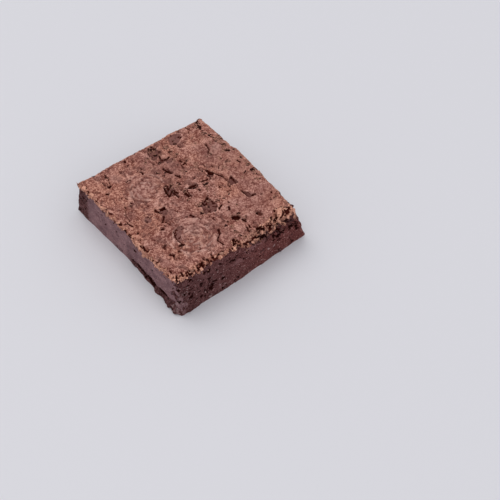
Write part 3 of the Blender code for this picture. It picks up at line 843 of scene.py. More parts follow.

# Pits, slots and cracks, as width, depth, darkness of painted shade, and the places that each runs
# through
SLOTS = (
    (0.9, 0.9, 0.62, ((-18.9, 27.2), (-15.3, 26.4), (-13.9, 24.4))),
    (0.9, 0.5, 0.5, ((-23.4, 27.1), (-22.9, 26.9))), (1.0, 0.5, 0.5, ((-31.1, 26.5), (-30.3, 26.1))),
    (0.9, 0.4, 0.5, ((-26.6, 25.4), (-26.4, 25.0))), (1.2, 0.7, 0.55, ((-34.0, 27.4), (-32.3, 27.7))),
    (1.4, 0.6, 0.52, ((-35.3, 23.9), (-34.6, 22.3))), (0.7, 0.6, 0.9, ((-27.0, 17.0), (-25.6, 17.0))),
    (1.2, 1.4, 1.0, ((-29.6, 16.9), (-29.0, 16.7))), (0.6, 0.5, 0.8, ((-9.4, 17.9), (-8.0, 17.7))),
    (1.0, 0.8, 1.0, ((-18.7, 11.4), (-17.6, 11.5))), (0.8, 0.7, 0.9, ((-16.0, 12.3), (-15.8, 11.0))),
    (0.9, 0.7, 0.6, ((-16.2, 9.9), (-14.4, 9.6))), (1.7, 1.3, 1.0, ((-17.6, 2.8), (-15.9, 3.1))),
    (0.9, 0.9, 1.0, ((-19.8, 1.8), (-19.0, 2.2), (-17.8, 2.6))),
    (1.0, 1.0, 1.0, ((-13.4, 3.6), (-10.7, 4.4))), (0.5, 0.3, 0.6, ((-10.6, 1.4), (-6.6, 1.8))),
    (0.7, 0.4, 0.5, ((-13.4, 0.9), (-11.6, -0.9))), (0.9, 0.6, 0.5, ((-26.0, 0.8), (-25.2, 0.1))),
    (0.6, 0.5, 0.7, ((-4.2, 23.1), (-2.5, 21.5))), (0.9, 0.5, 0.5, ((-6.6, 20.6), (-5.6, 20.4))),
    (0.9, 0.9, 1.0, ((-1.0, 31.7), (0.7, 31.9))),
    (1.3, 1.2, 1.0, ((-6.0, 16.8), (-4.2, 16.9), (-2.8, 18.0))),
    (0.9, 0.9, 0.75, ((-2.6, 17.9), (-0.6, 18.9), (2.1, 19.7))),
    (0.7, 0.5, 0.55, ((2.1, 19.7), (5.7, 19.9), (7.6, 18.9), (9.4, 18.1))),
    (0.8, 0.8, 1.0, ((-1.0, 13.2), (-1.4, 11.9), (-2.0, 10.4))),
    (1.1, 1.0, 1.0, ((-1.9, 10.6), (-2.0, 10.1))),
    (0.8, 1.0, 0.85, ((-2.5, 7.4), (-3.0, 5.0), (-2.8, 2.8))),
    (0.5, 0.5, 0.9, ((-2.9, 2.3), (-1.2, 1.1), (2.6, 1.0))), (1.2, 1.1, 1.0, ((-1.0, -0.1), (1.2, 0.1))),
    (1.0, 0.9, 1.0, ((0.9, 6.2), (1.7, 6.2))), (0.9, 0.6, 0.55, ((6.0, 7.0), (6.8, 7.1))),
    (0.8, 0.5, 0.5, ((2.4, 12.2), (3.6, 12.3))), (0.6, 0.5, 0.8, ((5.4, 14.8), (6.6, 14.6))),
    (0.9, 0.7, 0.9, ((10.7, 11.0), (10.9, 10.8))), (0.9, 0.6, 0.6, ((11.4, 17.3), (11.0, 15.1))),
    (0.8, 0.6, 0.55, ((8.2, 19.6), (9.2, 18.0))), (0.9, 0.9, 1.0, ((15.4, 7.8), (15.8, 7.0))),
    (0.9, 0.9, 1.0, ((16.0, 6.0), (16.4, 5.6))), (1.0, 1.0, 1.0, ((15.8, 3.9), (16.1, 3.2))),
    (1.3, 1.2, 1.0, ((8.4, 2.3), (9.3, 2.3))), (0.9, 1.0, 1.0, ((11.5, 3.1), (11.7, 3.1))),
    (1.1, 1.0, 1.0, ((7.6, 6.0), (7.8, 5.2))), (0.8, 0.5, 0.6, ((4.8, 22.7), (9.3, 22.4))),
    (1.0, 0.6, 0.6, ((15.4, 20.5), (17.2, 20.7), (19.0, 20.5))),
    (0.8, 0.8, 1.0, ((15.3, 20.6), (16.2, 20.5))), (0.9, 0.5, 0.55, ((20.8, 24.2), (20.4, 22.4))),
    (1.1, 0.9, 1.0, ((18.4, 9.7), (19.8, 9.0))), (0.8, 0.7, 0.9, ((16.0, 11.6), (16.3, 11.6))),
    (0.8, 0.7, 0.8, ((24.5, 30.5), (24.9, 30.1))), (0.9, 0.6, 0.62, ((27.4, 27.4), (27.8, 27.3))),
    (1.0, 0.6, 0.62, ((27.6, 33.1), (28.6, 32.9))), (0.9, 0.5, 0.5, ((14.4, 28.2), (15.6, 27.9))),
    (0.9, 0.5, 0.62, ((18.6, -0.1), (20.2, -0.2))), (1.2, 0.4, 0.47, ((22.9, 0.2), (26.0, 0.1))),
    (0.9, 0.4, 0.5, ((28.1, 12.0), (28.5, 11.9))),
    (0.5, 0.3, 0.5, ((26.7, 16.4), (26.3, 15.3), (26.9, 14.7))),
    (2.2, 1.0, 0.6, ((30.1, 17.5), (31.4, 17.9))), (0.8, 1.2, 0.9, ((29.2, 17.2), (29.7, 16.9))),
    (3.0, 2.2, 1.0, ((24.9, 7.7), (25.6, 8.6))), (1.2, 0.9, 0.9, ((28.5, 9.5), (29.1, 9.5))),
    (1.0, 0.8, 0.75, ((29.9, 9.9), (30.1, 9.7))),
    (0.7, 0.3, 0.5, ((24.4, -1.2), (26.9, -0.7), (30.5, 0.7), (33.3, 3.0), (35.4, 4.8))),
    (1.2, 1.1, 1.0, ((25.9, -2.8), (28.0, -4.0))),
    (0.7, 0.8, 0.8, ((28.0, -4.0), (29.2, -6.2), (30.4, -7.4), (34.0, -6.5))),
    (0.9, 0.8, 0.75, ((33.2, 9.3), (34.4, 8.9))),
    (0.9, 0.8, 0.75, ((33.0, 7.7), (34.3, 7.6), (34.9, 6.6))),
    (1.3, 1.5, 1.0, ((36.2, 11.7), (36.4, 11.2))), (1.1, 1.0, 1.0, ((-36.0, -8.9), (-35.1, -9.1))),
    (0.9, 0.8, 0.85, ((-25.7, -7.7), (-24.7, -7.2), (-23.6, -7.6))),
    (0.9, 0.9, 1.0, ((-25.0, -14.2), (-25.1, -16.3))), (0.7, 0.6, 0.9, ((-31.4, -14.7), (-31.2, -14.7))),
    (1.2, 1.1, 1.0, ((-33.9, -22.0), (-32.9, -21.3))), (0.6, 0.7, 0.9, ((-35.4, -21.2), (-34.2, -21.3))),
    (0.5, 0.5, 0.7, ((-32.2, -21.4), (-30.6, -22.1), (-28.8, -22.9))),
    (1.2, 1.1, 1.0, ((-27.9, -23.3), (-28.1, -24.4))), (0.5, 0.7, 1.0, ((-31.7, -25.2), (-29.2, -25.2))),
    (1.2, 1.1, 1.0, ((-25.0, -27.6), (-24.4, -27.4))), (0.9, 0.7, 0.9, ((-38.6, -24.2), (-38.5, -26.0))),
    (0.5, 0.4, 0.6, ((-16.2, -19.6), (-13.3, -20.6), (-9.2, -22.1))),
    (0.6, 0.4, 0.5, ((-13.3, -26.0), (-10.8, -27.9), (-8.3, -29.2), (-4.2, -30.2), (0.0, -29.2))),
    (0.8, 0.7, 0.9, ((-4.9, -32.8), (-4.2, -31.7), (-1.3, -31.0))),
    (0.9, 0.6, 0.8, ((-6.6, -34.3), (-5.6, -34.1))), (0.9, 0.7, 0.9, ((-2.5, -16.9), (-1.4, -16.9))),
    (0.8, 0.5, 0.6, ((-17.6, -22.8), (-16.2, -22.4))), (0.8, 0.6, 0.9, ((-13.1, -26.2), (-12.7, -26.0))),
    (0.9, 0.8, 0.9, ((-11.0, -3.9), (-9.0, -4.1))),
    (0.8, 0.8, 0.85, ((-9.3, -2.2), (-8.6, -4.4), (-7.1, -7.0))),
    (1.0, 0.8, 0.8, ((-10.3, -5.3), (-7.6, -6.3), (-4.3, -7.0))),
    (0.9, 0.9, 1.0, ((-6.7, -3.4), (-3.4, -2.5))), (1.1, 1.0, 1.0, ((-5.2, -4.1), (-1.6, -3.8))),
    (0.8, 0.7, 0.9, ((-6.6, -3.8), (-4.7, -6.7))), (1.0, 1.0, 1.0, ((-1.0, -12.8), (-1.3, -15.4))),
    (0.8, 0.9, 1.0, ((-0.6, -16.5), (0.4, -16.6))),
    (0.9, 0.9, 1.0, ((3.0, -16.5), (4.3, -17.6), (5.6, -19.2))),
    (0.5, 0.4, 0.6, ((2.5, -11.3), (4.0, -10.2), (5.4, -10.1))),
    (1.1, 1.0, 0.95, ((10.4, -6.9), (12.0, -6.2))), (0.7, 0.6, 0.8, ((15.6, -4.7), (15.8, -4.7))),
    (0.6, 0.6, 0.75, ((12.8, -19.0), (15.5, -20.0), (18.0, -20.7), (21.0, -20.7), (23.2, -20.4))),
    (0.8, 0.9, 0.9, ((21.3, -20.8), (21.3, -22.3))), (0.7, 0.5, 0.7, ((7.8, -19.7), (8.3, -19.5))),
    (1.1, 1.0, 1.0, ((8.5, -21.5), (8.5, -22.1))),
    (1.1, 0.7, 0.6, ((16.6, -26.5), (17.4, -28.2), (18.3, -27.9))),
    (1.5, 1.0, 0.75, ((22.7, -28.3), (23.9, -27.6))), (0.6, 0.6, 0.7, ((23.9, -27.4), (25.9, -28.8))),
    (1.1, 0.5, 0.5, ((24.0, -24.6), (24.8, -24.4))), (0.9, 0.8, 0.9, ((3.3, -31.5), (3.6, -32.1))),
    (0.8, 0.7, 0.8, ((10.4, -34.6), (11.2, -34.8))), (0.8, 0.7, 0.9, ((12.1, -34.8), (12.4, -35.2))),
    (0.8, 0.6, 0.7, ((6.8, -33.2), (7.2, -33.3))), (0.9, 0.7, 0.8, ((30.1, -34.3), (31.2, -34.6))),
    (1.2, 1.3, 1.0, ((35.3, -27.9), (38.0, -29.7))), (0.9, 1.0, 1.0, ((36.6, -9.2), (36.7, -12.3))),
    (0.7, 0.8, 0.9, ((34.5, -14.8), (35.8, -15.1))), (1.2, 1.1, 1.0, ((35.6, -17.8), (37.6, -18.8))),
    (1.0, 1.1, 1.0, ((35.2, -20.2), (36.2, -21.7))), (0.9, 0.9, 1.0, ((36.8, -21.9), (39.3, -22.2))),
    (0.9, 1.0, 1.0, ((36.6, -24.3), (38.4, -24.4), (38.9, -25.9))),
    (0.9, 0.9, 1.0, ((33.7, -31.3), (35.4, -31.8))), (1.0, 0.9, 1.0, ((37.5, -32.3), (38.8, -33.4))),
    (0.9, 0.9, 1.0, ((33.8, -33.8), (34.6, -35.2), (35.8, -35.4))),
    (1.0, 1.0, 1.0, ((34.2, -0.6), (34.6, -1.9))), (1.2, 1.2, 1.0, ((36.1, -2.5), (36.9, -3.0))),
    (1.0, 1.1, 1.0, ((38.2, -1.2), (38.7, -3.2))), (1.2, 1.3, 1.0, ((38.8, 0.5), (40.0, 1.2))),
    (0.7, 0.8, 0.9, ((38.2, 9.9), (38.6, 7.0), (39.2, 4.6))),
    (2.2, 2.2, 1.0, ((37.2, 22.2), (38.2, 21.6))), (0.8, 0.9, 1.0, ((33.9, 23.9), (36.4, 22.5))),
    (0.9, 1.0, 1.0, ((36.0, 27.2), (37.5, 26.2), (38.0, 24.3))),
    (1.0, 1.0, 1.0, ((36.8, 18.2), (38.0, 17.6))), (1.0, 1.1, 1.0, ((38.8, 18.0), (39.4, 15.8))),
)
SLOT_FRAY = 0.7
SLOT_WARP = 0.25
SLOT_STEP = (1.25, 0.80)
FINE_SLOT = 0.9

# Stretches where the skin stayed whole and even, as x, y and radius
CALM_SKIN = (
    (26.0, 22.0, 12.0), (16.0, 14.0, 9.0), (-28.0, -19.0, 5.0), (-18.0, 20.0, 8.0), (30.0, 4.0, 5.0),
    (6.0, 29.0, 11.0), (-25.0, 30.0, 8.0), (-9.0, 29.0, 6.0), (-14.0, -14.0, 6.0),
    (-34.0, 34.0, 6.0), (-27.0, 33.0, 8.0), (-18.0, 33.0, 8.0), (-10.0, 33.0, 8.0), (0.0, 32.0, 8.0),
    (10.0, 32.0, 8.0), (20.0, 31.0, 8.0), (28.0, 29.0, 7.0)
)

# Softly darker stretches, and pale ones where threads of sugar set, as x, y, radius and strength
STAINS = (
    (8.4, -8.2, 3.0, 0.6), (5.6, -15.0, 3.2, 0.5), (-0.5, 28.0, 3.6, 0.4), (-2.6, 21.4, 2.8, 0.5),
    (-34.0, -4.0, 4.0, 0.4), (-22.0, -10.0, 4.0, 0.3), (37.0, 30.5, 2.6, 0.7), (-12.5, 22.0, 3.0, 0.3),
    (-29.0, -12.0, 4.0, 0.3), (3.0, -26.5, 3.0, 0.3), (25.0, -33.0, 3.0, 0.4), (6.0, 29.0, 13.0, 0.35),
    (24.0, 29.0, 9.0, 0.4), (-20.0, 0.0, 14.0, 0.55), (21.0, -12.0, 14.0, 0.5), (25.0, 14.0, 12.0, 0.3),
    (19.0, 22.0, 2.2, 0.9), (33.0, -2.0, 5.0, 0.3), (-9.0, 28.0, 13.0, 0.5), (4.0, -14.5, 5.0, 0.7),
    (-11.0, -23.0, 3.5, 0.6), (-7.0, -28.0, 3.5, 0.5), (14.0, -17.0, 3.0, 0.6), (0.0, -24.0, 3.0, 0.6),
    (-8.0, -5.0, 5.0, 0.6), (-31.0, 5.0, 5.0, 0.6), (-17.0, -13.0, 11.0, 0.5),
)
PALE_PLACES = (
    (-14.6, 29.5, 2.4, 0.8), (-29.5, -18.8, 3.6, 0.5), (19.0, -12.0, 4.6, 0.7), (31.5, 5.0, 4.0, 0.3)
)

# Small pin holes scattered over the rest: their least and largest width and how strongly small
# ones prevail, and the longest, as a share of its width
PIN_HOLES = 130
PIN_SEED = 5
PIN_SIZES = (0.40, 0.95, 2)
LONGEST_PIN = 2.4
PIN_FRAY = 0.6
PIN_STEP = (1.2, 0.75)
PIN_DEPTH = 0.65
# How dark the painted shade in each pin hole is, drawn between these
PIN_DARKNESS = (0.42, 0.8)

# The broken edge: its ragged border, the pieces of skin on it, and the gaps between them, fewer
# of which open along one stretch of the shoulder, from and to these places along y
EDGE_FRAY = 0.9
EDGE_STEP = (-0.25, 0.25)
NEAR_WANDER = 2.4
NEAR_FLAKINESS = 0.7
EDGE_FACING = (0.15, 0.7)
EDGE_PIECE_SIZE = 2.0
EDGE_PIECE_SEED = 54.1
EDGE_PIECE_RISE = 0.3
EDGE_LUMPS = 0.25
CHIPPED_LUMPS = 0.35
BARE_LUMPS = 1.2
BARE_STEP = (0.30, -0.35)
# The voids between the pieces, sunk deep and painted in shade
VOID_STEP = (0.09, 0.19)
VOID_NEAR = 0.20
VOID_DEPTH = 0.7
VOID_DEEPER = 0.2
FEWER_VOIDS = 0.16
FEWER_FROM = (12.0, 18.0)
FEWER_TO = (29.0, 25.0)
# The painted shade in the narrow gaps between the pieces, and how far in from a gap it reaches
GAP_SHADE = 0.6
GAP_WIDTH = (0.12, 0.0)

# How the crust's border turns down and in: the rows of the skirt that tuck under it, the row
# that closes it, and the share of its lip that the crumbled side has lost
TUCKED_ROWS = 2.2
CLOSING_ROW = 0.999
LIP_LOST = 0.8
LIP_LOST_FACING = 0.3


def spot_reach(plan, centre, length, width, turn):
    """How far each place lies from an oval's middle, where 1 is its edge."""
    off = plan[:, :2] - np.array(centre)
    cos, sin = math.cos(math.radians(turn)), math.sin(math.radians(turn))
    along = (off[:, 0] * cos + off[:, 1] * sin) / (length / 2)
    across = (off[:, 1] * cos - off[:, 0] * sin) / (width / 2)
    return np.hypot(along, across)


def line_gap(plan, route):
    """How far each place lies from a line that runs through these places."""
    nearest = np.full(len(plan), np.inf)
    for start, end in zip(route, route[1:]):
        start, step = np.array(start), np.array(end) - np.array(start)
        off = plan[:, :2] - start
        share = np.clip(off @ step / (step @ step), 0.0, 1.0)
        nearest = np.minimum(nearest, np.linalg.norm(off - share[:, None] * step, axis=1))
    return nearest


def inset_from(plan, outline):
    """How far inside a closed outline each place lies, or outside it where less than 0."""
    x, y = plan[:, 0], plan[:, 1]
    inside = np.zeros(len(plan), bool)
    for (x0, y0), (x1, y1) in zip(outline, outline[1:] + outline[:1]):
        crossing = x0 + (x1 - x0) * (y - y0) / (y1 - y0)
        inside ^= ((y0 > y) != (y1 > y)) & (x < crossing)
    gap = line_gap(plan, outline + outline[:1])
    return np.where(inside, gap, -gap)


def spread_over(plan, places):
    """The strongest of several round soft-edged places, as x, y, radius and strength."""
    share = np.zeros(len(plan))
    for x, y, radius, strength in places:
        spread = eased(radius, 0.5 * radius, gap_from(plan, (x, y)))
        share = np.maximum(share, strength * spread)
    return share


def fragments(points, size, seed):
    """Splits a surface into uneven pieces about this size: how far in from the nearest gap each
    point lies, in millimetres, and a height from 0 to 1 for the piece that it is on."""
    shifts = np.stack([grain(points, 0.6 * size, seed + k) for k in range(3)], 1)
    bent = points + PIECE_BEND * size * shifts
    inward = np.empty(len(points))
    height = np.empty(len(points))
    for index, spot in enumerate((bent / size + seed).tolist()):
        gaps, sites = noise.voronoi(spot)
        inward[index] = (gaps[1] - gaps[0]) * size / 2
        height[index] = noise.cell(sites[0] * SITE_SPREAD) * 0.5 + 0.5
    return inward, height


def creases(points, size, seed):
    """1 along thin wandering ridges about this far apart, 0 between them."""
    return 1.0 - np.minimum(np.abs(grain(points, size, seed)) * CREASE_SHARPNESS, 1.0)


# A fine sheet with its border turned down, and closed underneath inside the crumb
bpy.ops.object.select_all(action="DESELECT")
bpy.ops.mesh.primitive_grid_add(
    x_subdivisions=round(LENGTH / FINE_STEP), y_subdivisions=round(WIDTH / FINE_STEP), size=1.0
)
crust = bpy.context.object
crust.name = "crust"
bpy.ops.object.mode_set(mode="EDIT")
bpy.ops.transform.resize(value=(LENGTH, WIDTH, 1.0))
bpy.ops.transform.translate(value=(0.0, 0.0, 1.0))
bpy.ops.mesh.select_mode(type="EDGE")
bpy.ops.mesh.select_all(action="DESELECT")
bpy.ops.mesh.select_non_manifold(
    use_wire=False, use_multi_face=False, use_non_contiguous=False, use_verts=False
)
row_down = {"value": (0.0, 0.0, -1.0 / SKIRT_ROWS)}
for _ in range(SKIRT_ROWS):
    bpy.ops.mesh.extrude_region_move(TRANSFORM_OT_translate=row_down)
bpy.ops.mesh.edge_face_add()
bpy.ops.mesh.select_all(action="SELECT")
bpy.ops.mesh.normals_make_consistent(inside=False)
settle_order(crust)

block = points_of(crust)
down = 1.0 - block[:, 2]
block[:, 2] = HEIGHT - np.where(down < CLOSING_ROW, down * crust_line(block), CLOSED_UNDER)
points = slab_outline(block)
set_points(crust, points)
normals = normals_of(crust)
outward = normals * np.array((1.0, 1.0, 0.0))
plan = flattened(points)
upward = np.maximum(normals[:, 2], 0.0)

# The crust's large relief: waves, swollen rounds and their rings
wander = uneven(plan, CRUST_WANDER)
frayed = wander + uneven(plan, FRAY)
rise = uneven(plan, CRUST_WAVES)
wisp = np.zeros(len(points))
streak = np.zeros(len(points))
for x, y, radius, height, threads in DOMES:
    off = plan[:, :2] - np.array((x, y))
    gap = np.linalg.norm(off, axis=1)
    swell = eased(radius, SWELL_FULL * radius, gap)
    rings = RING_RISE * np.cos(math.tau * (gap + RING_WANDER * wander) / RING_SPACING)
    rise += height * swell + rings * swell * height
    turn = np.arctan2(off[:, 1], off[:, 0])
    wrapped = (np.cos(turn) * THREAD_WRAP, np.sin(turn) * THREAD_WRAP)
    swirl = np.stack((gap + THREAD_WANDER * wander, *wrapped), 1)
    band = eased(THREADS_THIN[0] * radius, THREADS_THIN[1] * radius, gap) * threads
    streak += band * uneven(swirl, [(high, size, seed + x) for high, size, seed in THREADS])
    wisp += band * eased(*WISP_STEP, grain(swirl, WISPS[0], WISPS[1] + x))

# Fine crinkles, like paper that was crushed and opened again
warp = np.stack((grain(plan, WARP_SIZE, 36.2), grain(plan, WARP_SIZE, 37.4), 0.0 * wander), 1)
bent = points + WARP * warp
crushed = eased(*CRUSHED_STEP, uneven(plan, CRUSHED))
strength, spacing, seed = WIDE_CREASES
crinkle = creases(bent, spacing, seed) * strength
strength, spacing, seed = TIGHT_CREASES
crinkle += creases(bent, spacing, seed) * strength * crushed
crinkle += uneven(bent, FINE_CRINKLES)
fine = CRINKLE_RISE * (crinkle - CRINKLE_MIDDLE) + THREAD_RISE * streak

# Broken places, where the skin is gone down to porous crumb, with painted shade under their far edge
calm = spread_over(plan, [(*place, 1.0) for place in CALM_SKIN])
fine *= 1.0 - CALM_FLATTENS * calm
broken = np.zeros(len(points))
floor_light = np.zeros(len(points))
lip = np.zeros(len(points))
pit = np.zeros(len(points))
clots = uneven(points, CLOTS)
for depth, lightness, outline in BROKEN_PLACES:
    inset = inset_from(plan, outline) + BROKEN_FRAY * frayed
    hole = eased(*BROKEN_STEP, inset)
    lip = np.maximum(lip, eased(*LIP_BAND, inset) * (1.0 - hole))
    rise -= depth * hole
    broken = np.maximum(broken, hole)
    floor_light = np.where(hole > 0.0, lightness, floor_light)
    from_middle = plan[:, :2] - np.array(outline).mean(axis=0)
    from_middle /= np.linalg.norm(from_middle, axis=1, keepdims=True)
    shaded_wall = eased(*WALL_BAND, inset) * (0.5 + 0.5 * from_middle @ SHADED_SIDE)
    dark = eased(*CLOT_STEP, clots + WALL_SHADE * shaded_wall)
    pit = np.maximum(pit, hole * dark * min(1.0, 0.3 + depth))

# Thin chips and pieces of skin that flaked off
chips = eased(*CHIP_STEP, uneven(bent, CHIPS) - CHIP_CALM * calm)
inward, height = fragments(plan + 0.5 * warp, PIECE_SIZE, PIECE_SEED)
shed = height - SHED_HEIGHT + uneven(plan, SHED_PATCHES) - SHED_CALM * calm
shed = eased(*SHED_STEP, shed) * eased(*SHED_RIM, inward)
chips = np.maximum(chips, shed) * (1.0 - broken)
rise -= CHIP_DEPTH * chips
seams = eased(*SEAM_WIDTH, inward)
seams *= eased(*SEAM_STEP, uneven(plan, SEAM_PATCHES) - SEAM_CALM * calm)
rise -= SEAM_DEPTH * seams
nicks = eased(*NICK_WIDTH, creases(bent, *NICK_LINES))
nicks *= eased(*NICK_STEP, uneven(plan, NICK_PATCHES) - NICK_CALM * calm)
rise -= NICK_DEPTH * nicks
# Pits, slots and cracks, sunk into the skin, with near-black painted shade in them
for width, depth, dark, route in SLOTS:
    gap = line_gap(plan + SLOT_WARP * warp, route) / (width / 2) + SLOT_FRAY * frayed
    hole = eased(*SLOT_STEP, gap + max(0.0, FINE_SLOT - width) * clots)
    rise -= depth * hole
    pit = np.maximum(pit, dark * hole)
# Pin holes, with painted shade in them
draw = np.random.default_rng(PIN_SEED)
for _ in range(PIN_HOLES):
    x = draw.uniform(-LENGTH / 2, LENGTH / 2)
    y = draw.uniform(-WIDTH / 2, WIDTH / 2)
    size = drawn_size(draw, *PIN_SIZES)
    length = size * draw.uniform(1.0, LONGEST_PIN)
    gap = spot_reach(plan, (x, y), length, size, draw.uniform(0.0, 180.0))
    hole = eased(*PIN_STEP, gap + PIN_FRAY * frayed) * (1.0 - calm)
    rise -= PIN_DEPTH * size * hole
    pit = np.maximum(pit, hole * draw.uniform(*PIN_DARKNESS))
fine = fine * (1.0 - broken) + uneven(points, RUBBLE) * broken

# Flaky edges: pieces of broken crust with gaps between them on the crumbled shoulder and the
# right rim, and a narrow chipped band on the rest
beyond_skin = points[:, 0] - distance_out(SKIN_EDGE, points[:, 1]) + EDGE_FRAY * frayed
near_gap = points[:, 1] + distance_out(NEAR_CRUST, points[:, 0]) + NEAR_WANDER * wander
near_band = eased(*NEAR_FLAKES, near_gap)
flaky = np.maximum(eased(*EDGE_STEP, beyond_skin), NEAR_FLAKINESS * near_band)
chipped = eased(*EDGE_FACING, np.linalg.norm(outward, axis=1))
rim_lumps = uneven(points, RIM_LUMPS)
inward, height = fragments(points, EDGE_PIECE_SIZE, EDGE_PIECE_SEED)
below = distance_out(SKIN_ENDS, points[:, 1]) - points[:, 2]
bare = eased(-SKIN_FADES, SKIN_FADES, below + BARE_LUMPS * rim_lumps) * crumbled(points[:, 1])
bare = eased(*BARE_STEP, height - bare) * (bare > 0.0)
void = uneven(points, RIM_VOIDS) + 0.3 * (0.5 - height) - VOID_NEAR * near_band
fewer = eased(*FEWER_FROM, points[:, 1]) * eased(*FEWER_TO, points[:, 1])
void = eased(*VOID_STEP, void - FEWER_VOIDS * fewer)
# Voids and the gaps between pieces get painted shade where splinter falls to 0
splinter = 1.0 - np.maximum(void, GAP_SHADE * eased(*GAP_WIDTH, inward))
void_depth = VOID_DEPTH + VOID_DEEPER * crumbled(points[:, 1])
fine += flaky * (EDGE_PIECE_RISE * height - void_depth * void + EDGE_LUMPS * rim_lumps)
fine += CHIPPED_LUMPS * chipped * rim_lumps * (1.0 - flaky)

near_side = smeared(points, outward)
ledge = np.where(near_side > 0.5, SMEARED_LIP, CRUST_LIP) * (1.0 + uneven(plan, LIP_WIDTHS))
tuck = eased(1.0 - TUCKED_ROWS / SKIRT_ROWS, 1.0, down)
ledge *= 1.0 - LIP_LOST * crumbled(points[:, 1]) * (outward[:, 0] > LIP_LOST_FACING)
push = side_push(points, outward) + ledge * (1.0 - tuck) - SKIRT_DIVE * tuck
points += outward * push[:, None]
points += normals * (rim_crag(points) + fine * (1.0 - tuck))[:, None]
points[:, 2] += upward * (rise + LIP_RISE * lip)
set_points(crust, points)
paint(
    crust,
    # Paler drier ridges, threads and lips with painted highlight, and painted shade in the creases
    crest=0.40 + 0.8 * (crinkle - CRINKLE_MIDDLE) + 1.2 * streak + 0.25 * lip,
    broken=np.maximum(broken, 0.6 * chips),
    floor=np.where(broken > 0.0, floor_light, 0.4),
    stain=spread_over(plan, STAINS),
    pale=spread_over(plan, PALE_PLACES),
    # Painted shade in pits, slots, cracks, pin holes, nicks and seams, and on the far walls of broken
    # places
    pit=np.maximum(pit, np.maximum(0.65 * nicks, 0.55 * seams)),
    wisp=wisp,
    flaky=flaky,
    bare=bare,
    splinter=splinter,
    shade=height,
    edge=chipped,
)
crust_points = points.copy()
crust_normals = normals_of(crust)
to_place(crust)
bpy.ops.object.shade_smooth_by_angle(angle=SMOOTH_ANGLE)

CRUST_ROUGHNESS = 0.55
CRUST_GLOSS = 0.05
# The dark also serves as painted shade in creases, the pale as painted highlight on crests
CRUST_DARK_AND_SHADE = (0.170, 0.048, 0.036, 1.0)
CRUST_MIDDLE = (0.500, 0.230, 0.182, 1.0)
CRUST_PALE_AND_HIGHLIGHT = (0.800, 0.450, 0.370, 1.0)
CRUST_WISP = (0.850, 0.520, 0.430, 1.0)
TAN_TINT = (1.04, 0.98, 0.88, 1.0)
MAUVE_TINT = (0.99, 0.99, 0.98, 1.0)
BROKEN_DARK = (0.100, 0.027, 0.020, 1.0)
BROKEN_LIGHT = (0.280, 0.125, 0.105, 1.0)
TOASTED_LIGHT = (0.580, 0.290, 0.205, 1.0)
# Near-black painted shade for pits, cracks and the voids of the broken rim
PIT_SHADE_COLOUR = (0.064, 0.008, 0.004, 1.0)
FLAKE_DARK = (0.300, 0.110, 0.078, 1.0)
FLAKE_LIGHT = (0.860, 0.450, 0.315, 1.0)

# Darker and paler spots on the skin, as size, detail, the step at their edge, strength and colour
SKIN_SPOTS = (
    (0.0022, 2.0, (0.58, 0.66), 0.22, CRUST_DARK_AND_SHADE),
    (0.0017, 2.0, (0.62, 0.70), 0.15, CRUST_WISP),
    (0.0007, 1.0, (0.54, 0.64), 0.45, CRUST_DARK_AND_SHADE),
)

papery, place = new_finish("papery_crust", CRUST_ROUGHNESS, CRUST_GLOSS)
speckle = place.noise(0.0005, 3.0, 0.7)
mottle = place.noise(0.005, 2.0)
wrinkle = place.noise(0.0014, 2.0, 0.6) - 0.5
wrinkle = (wrinkle * wrinkle * 90.0).step(0.0, 1.0)
# Random speckle, wrinkles and mottle, with painted highlight on crests and painted shade in creases
tone = place.attribute("crest") * 0.65 + speckle * 1.5 + wrinkle * 0.28 + mottle * 0.70 - 1.08
skin = tone.node(
    "ShaderNodeValToRGB",
    {"stops": ((0.08, CRUST_DARK_AND_SHADE), (0.42, CRUST_MIDDLE), (0.95, CRUST_PALE_AND_HIGHLIGHT))},
    {"Fac": tone},
)
skin = skin.tint(place.noise(0.014, 2.0).step(0.35, 0.65).blend(MAUVE_TINT, TAN_TINT))
for size, detail, edge, strength, colour in SKIN_SPOTS:
    skin = (place.noise(size, detail, 0.6).step(*edge) * strength).blend(skin, colour)
skin = (place.attribute("wisp") * speckle * 0.9).blend(skin, CRUST_WISP)
skin = (place.attribute("pale") * 0.3).blend(skin, CRUST_WISP)
skin = (place.attribute("stain") * mottle * 1.4).blend(skin, BROKEN_LIGHT)
floor_tone = (speckle * 1.2 - 0.5 + place.attribute("floor") * 0.8).step(0.0, 1.0)
floor_tone = floor_tone.blend(BROKEN_DARK, BROKEN_LIGHT)
skin = place.attribute("broken").step(0.1, 0.9).blend(skin, floor_tone)
rim = (place.attribute("shade") * 0.8 + speckle * 1.4 - 0.72).step(0.0, 1.0)
rim = rim.blend(FLAKE_DARK, FLAKE_LIGHT)
# Painted shade, near-black in the voids and gaps between the pieces
rim = place.attribute("splinter").step(0.25, 0.6).blend(PIT_SHADE_COLOUR, rim)
edge = (speckle * 3.0 - 1.1).step(0.0, 0.8).blend(BROKEN_DARK, FLAKE_LIGHT)
skin = (place.attribute("edge") * 0.75).blend(skin, edge)
skin = place.attribute("flaky").step(0.2, 0.6).blend(skin, rim)
crumb_tone = (place.attribute("shade") * 0.3 + speckle * 2.4 - 0.95).step(0.0, 1.1)
crumb_tone = crumb_tone.blend(CRUMB_DARK, CRUMB_LIGHT)
toasted = (speckle * 2.0 - 0.6).step(0.0, 0.9).blend(BROKEN_DARK, TOASTED_LIGHT)
crumb_tone = place.attribute("bare").step(0.6, 1.0).blend(toasted, crumb_tone)
# Painted shade, near-black in the voids and gaps of the bare crumb
crumb_tone = place.attribute("splinter").step(0.25, 0.6).blend(CRUMB_DEEP_SHADE, crumb_tone)
skin = place.attribute("bare").step(0.05, 0.40).blend(skin, crumb_tone)
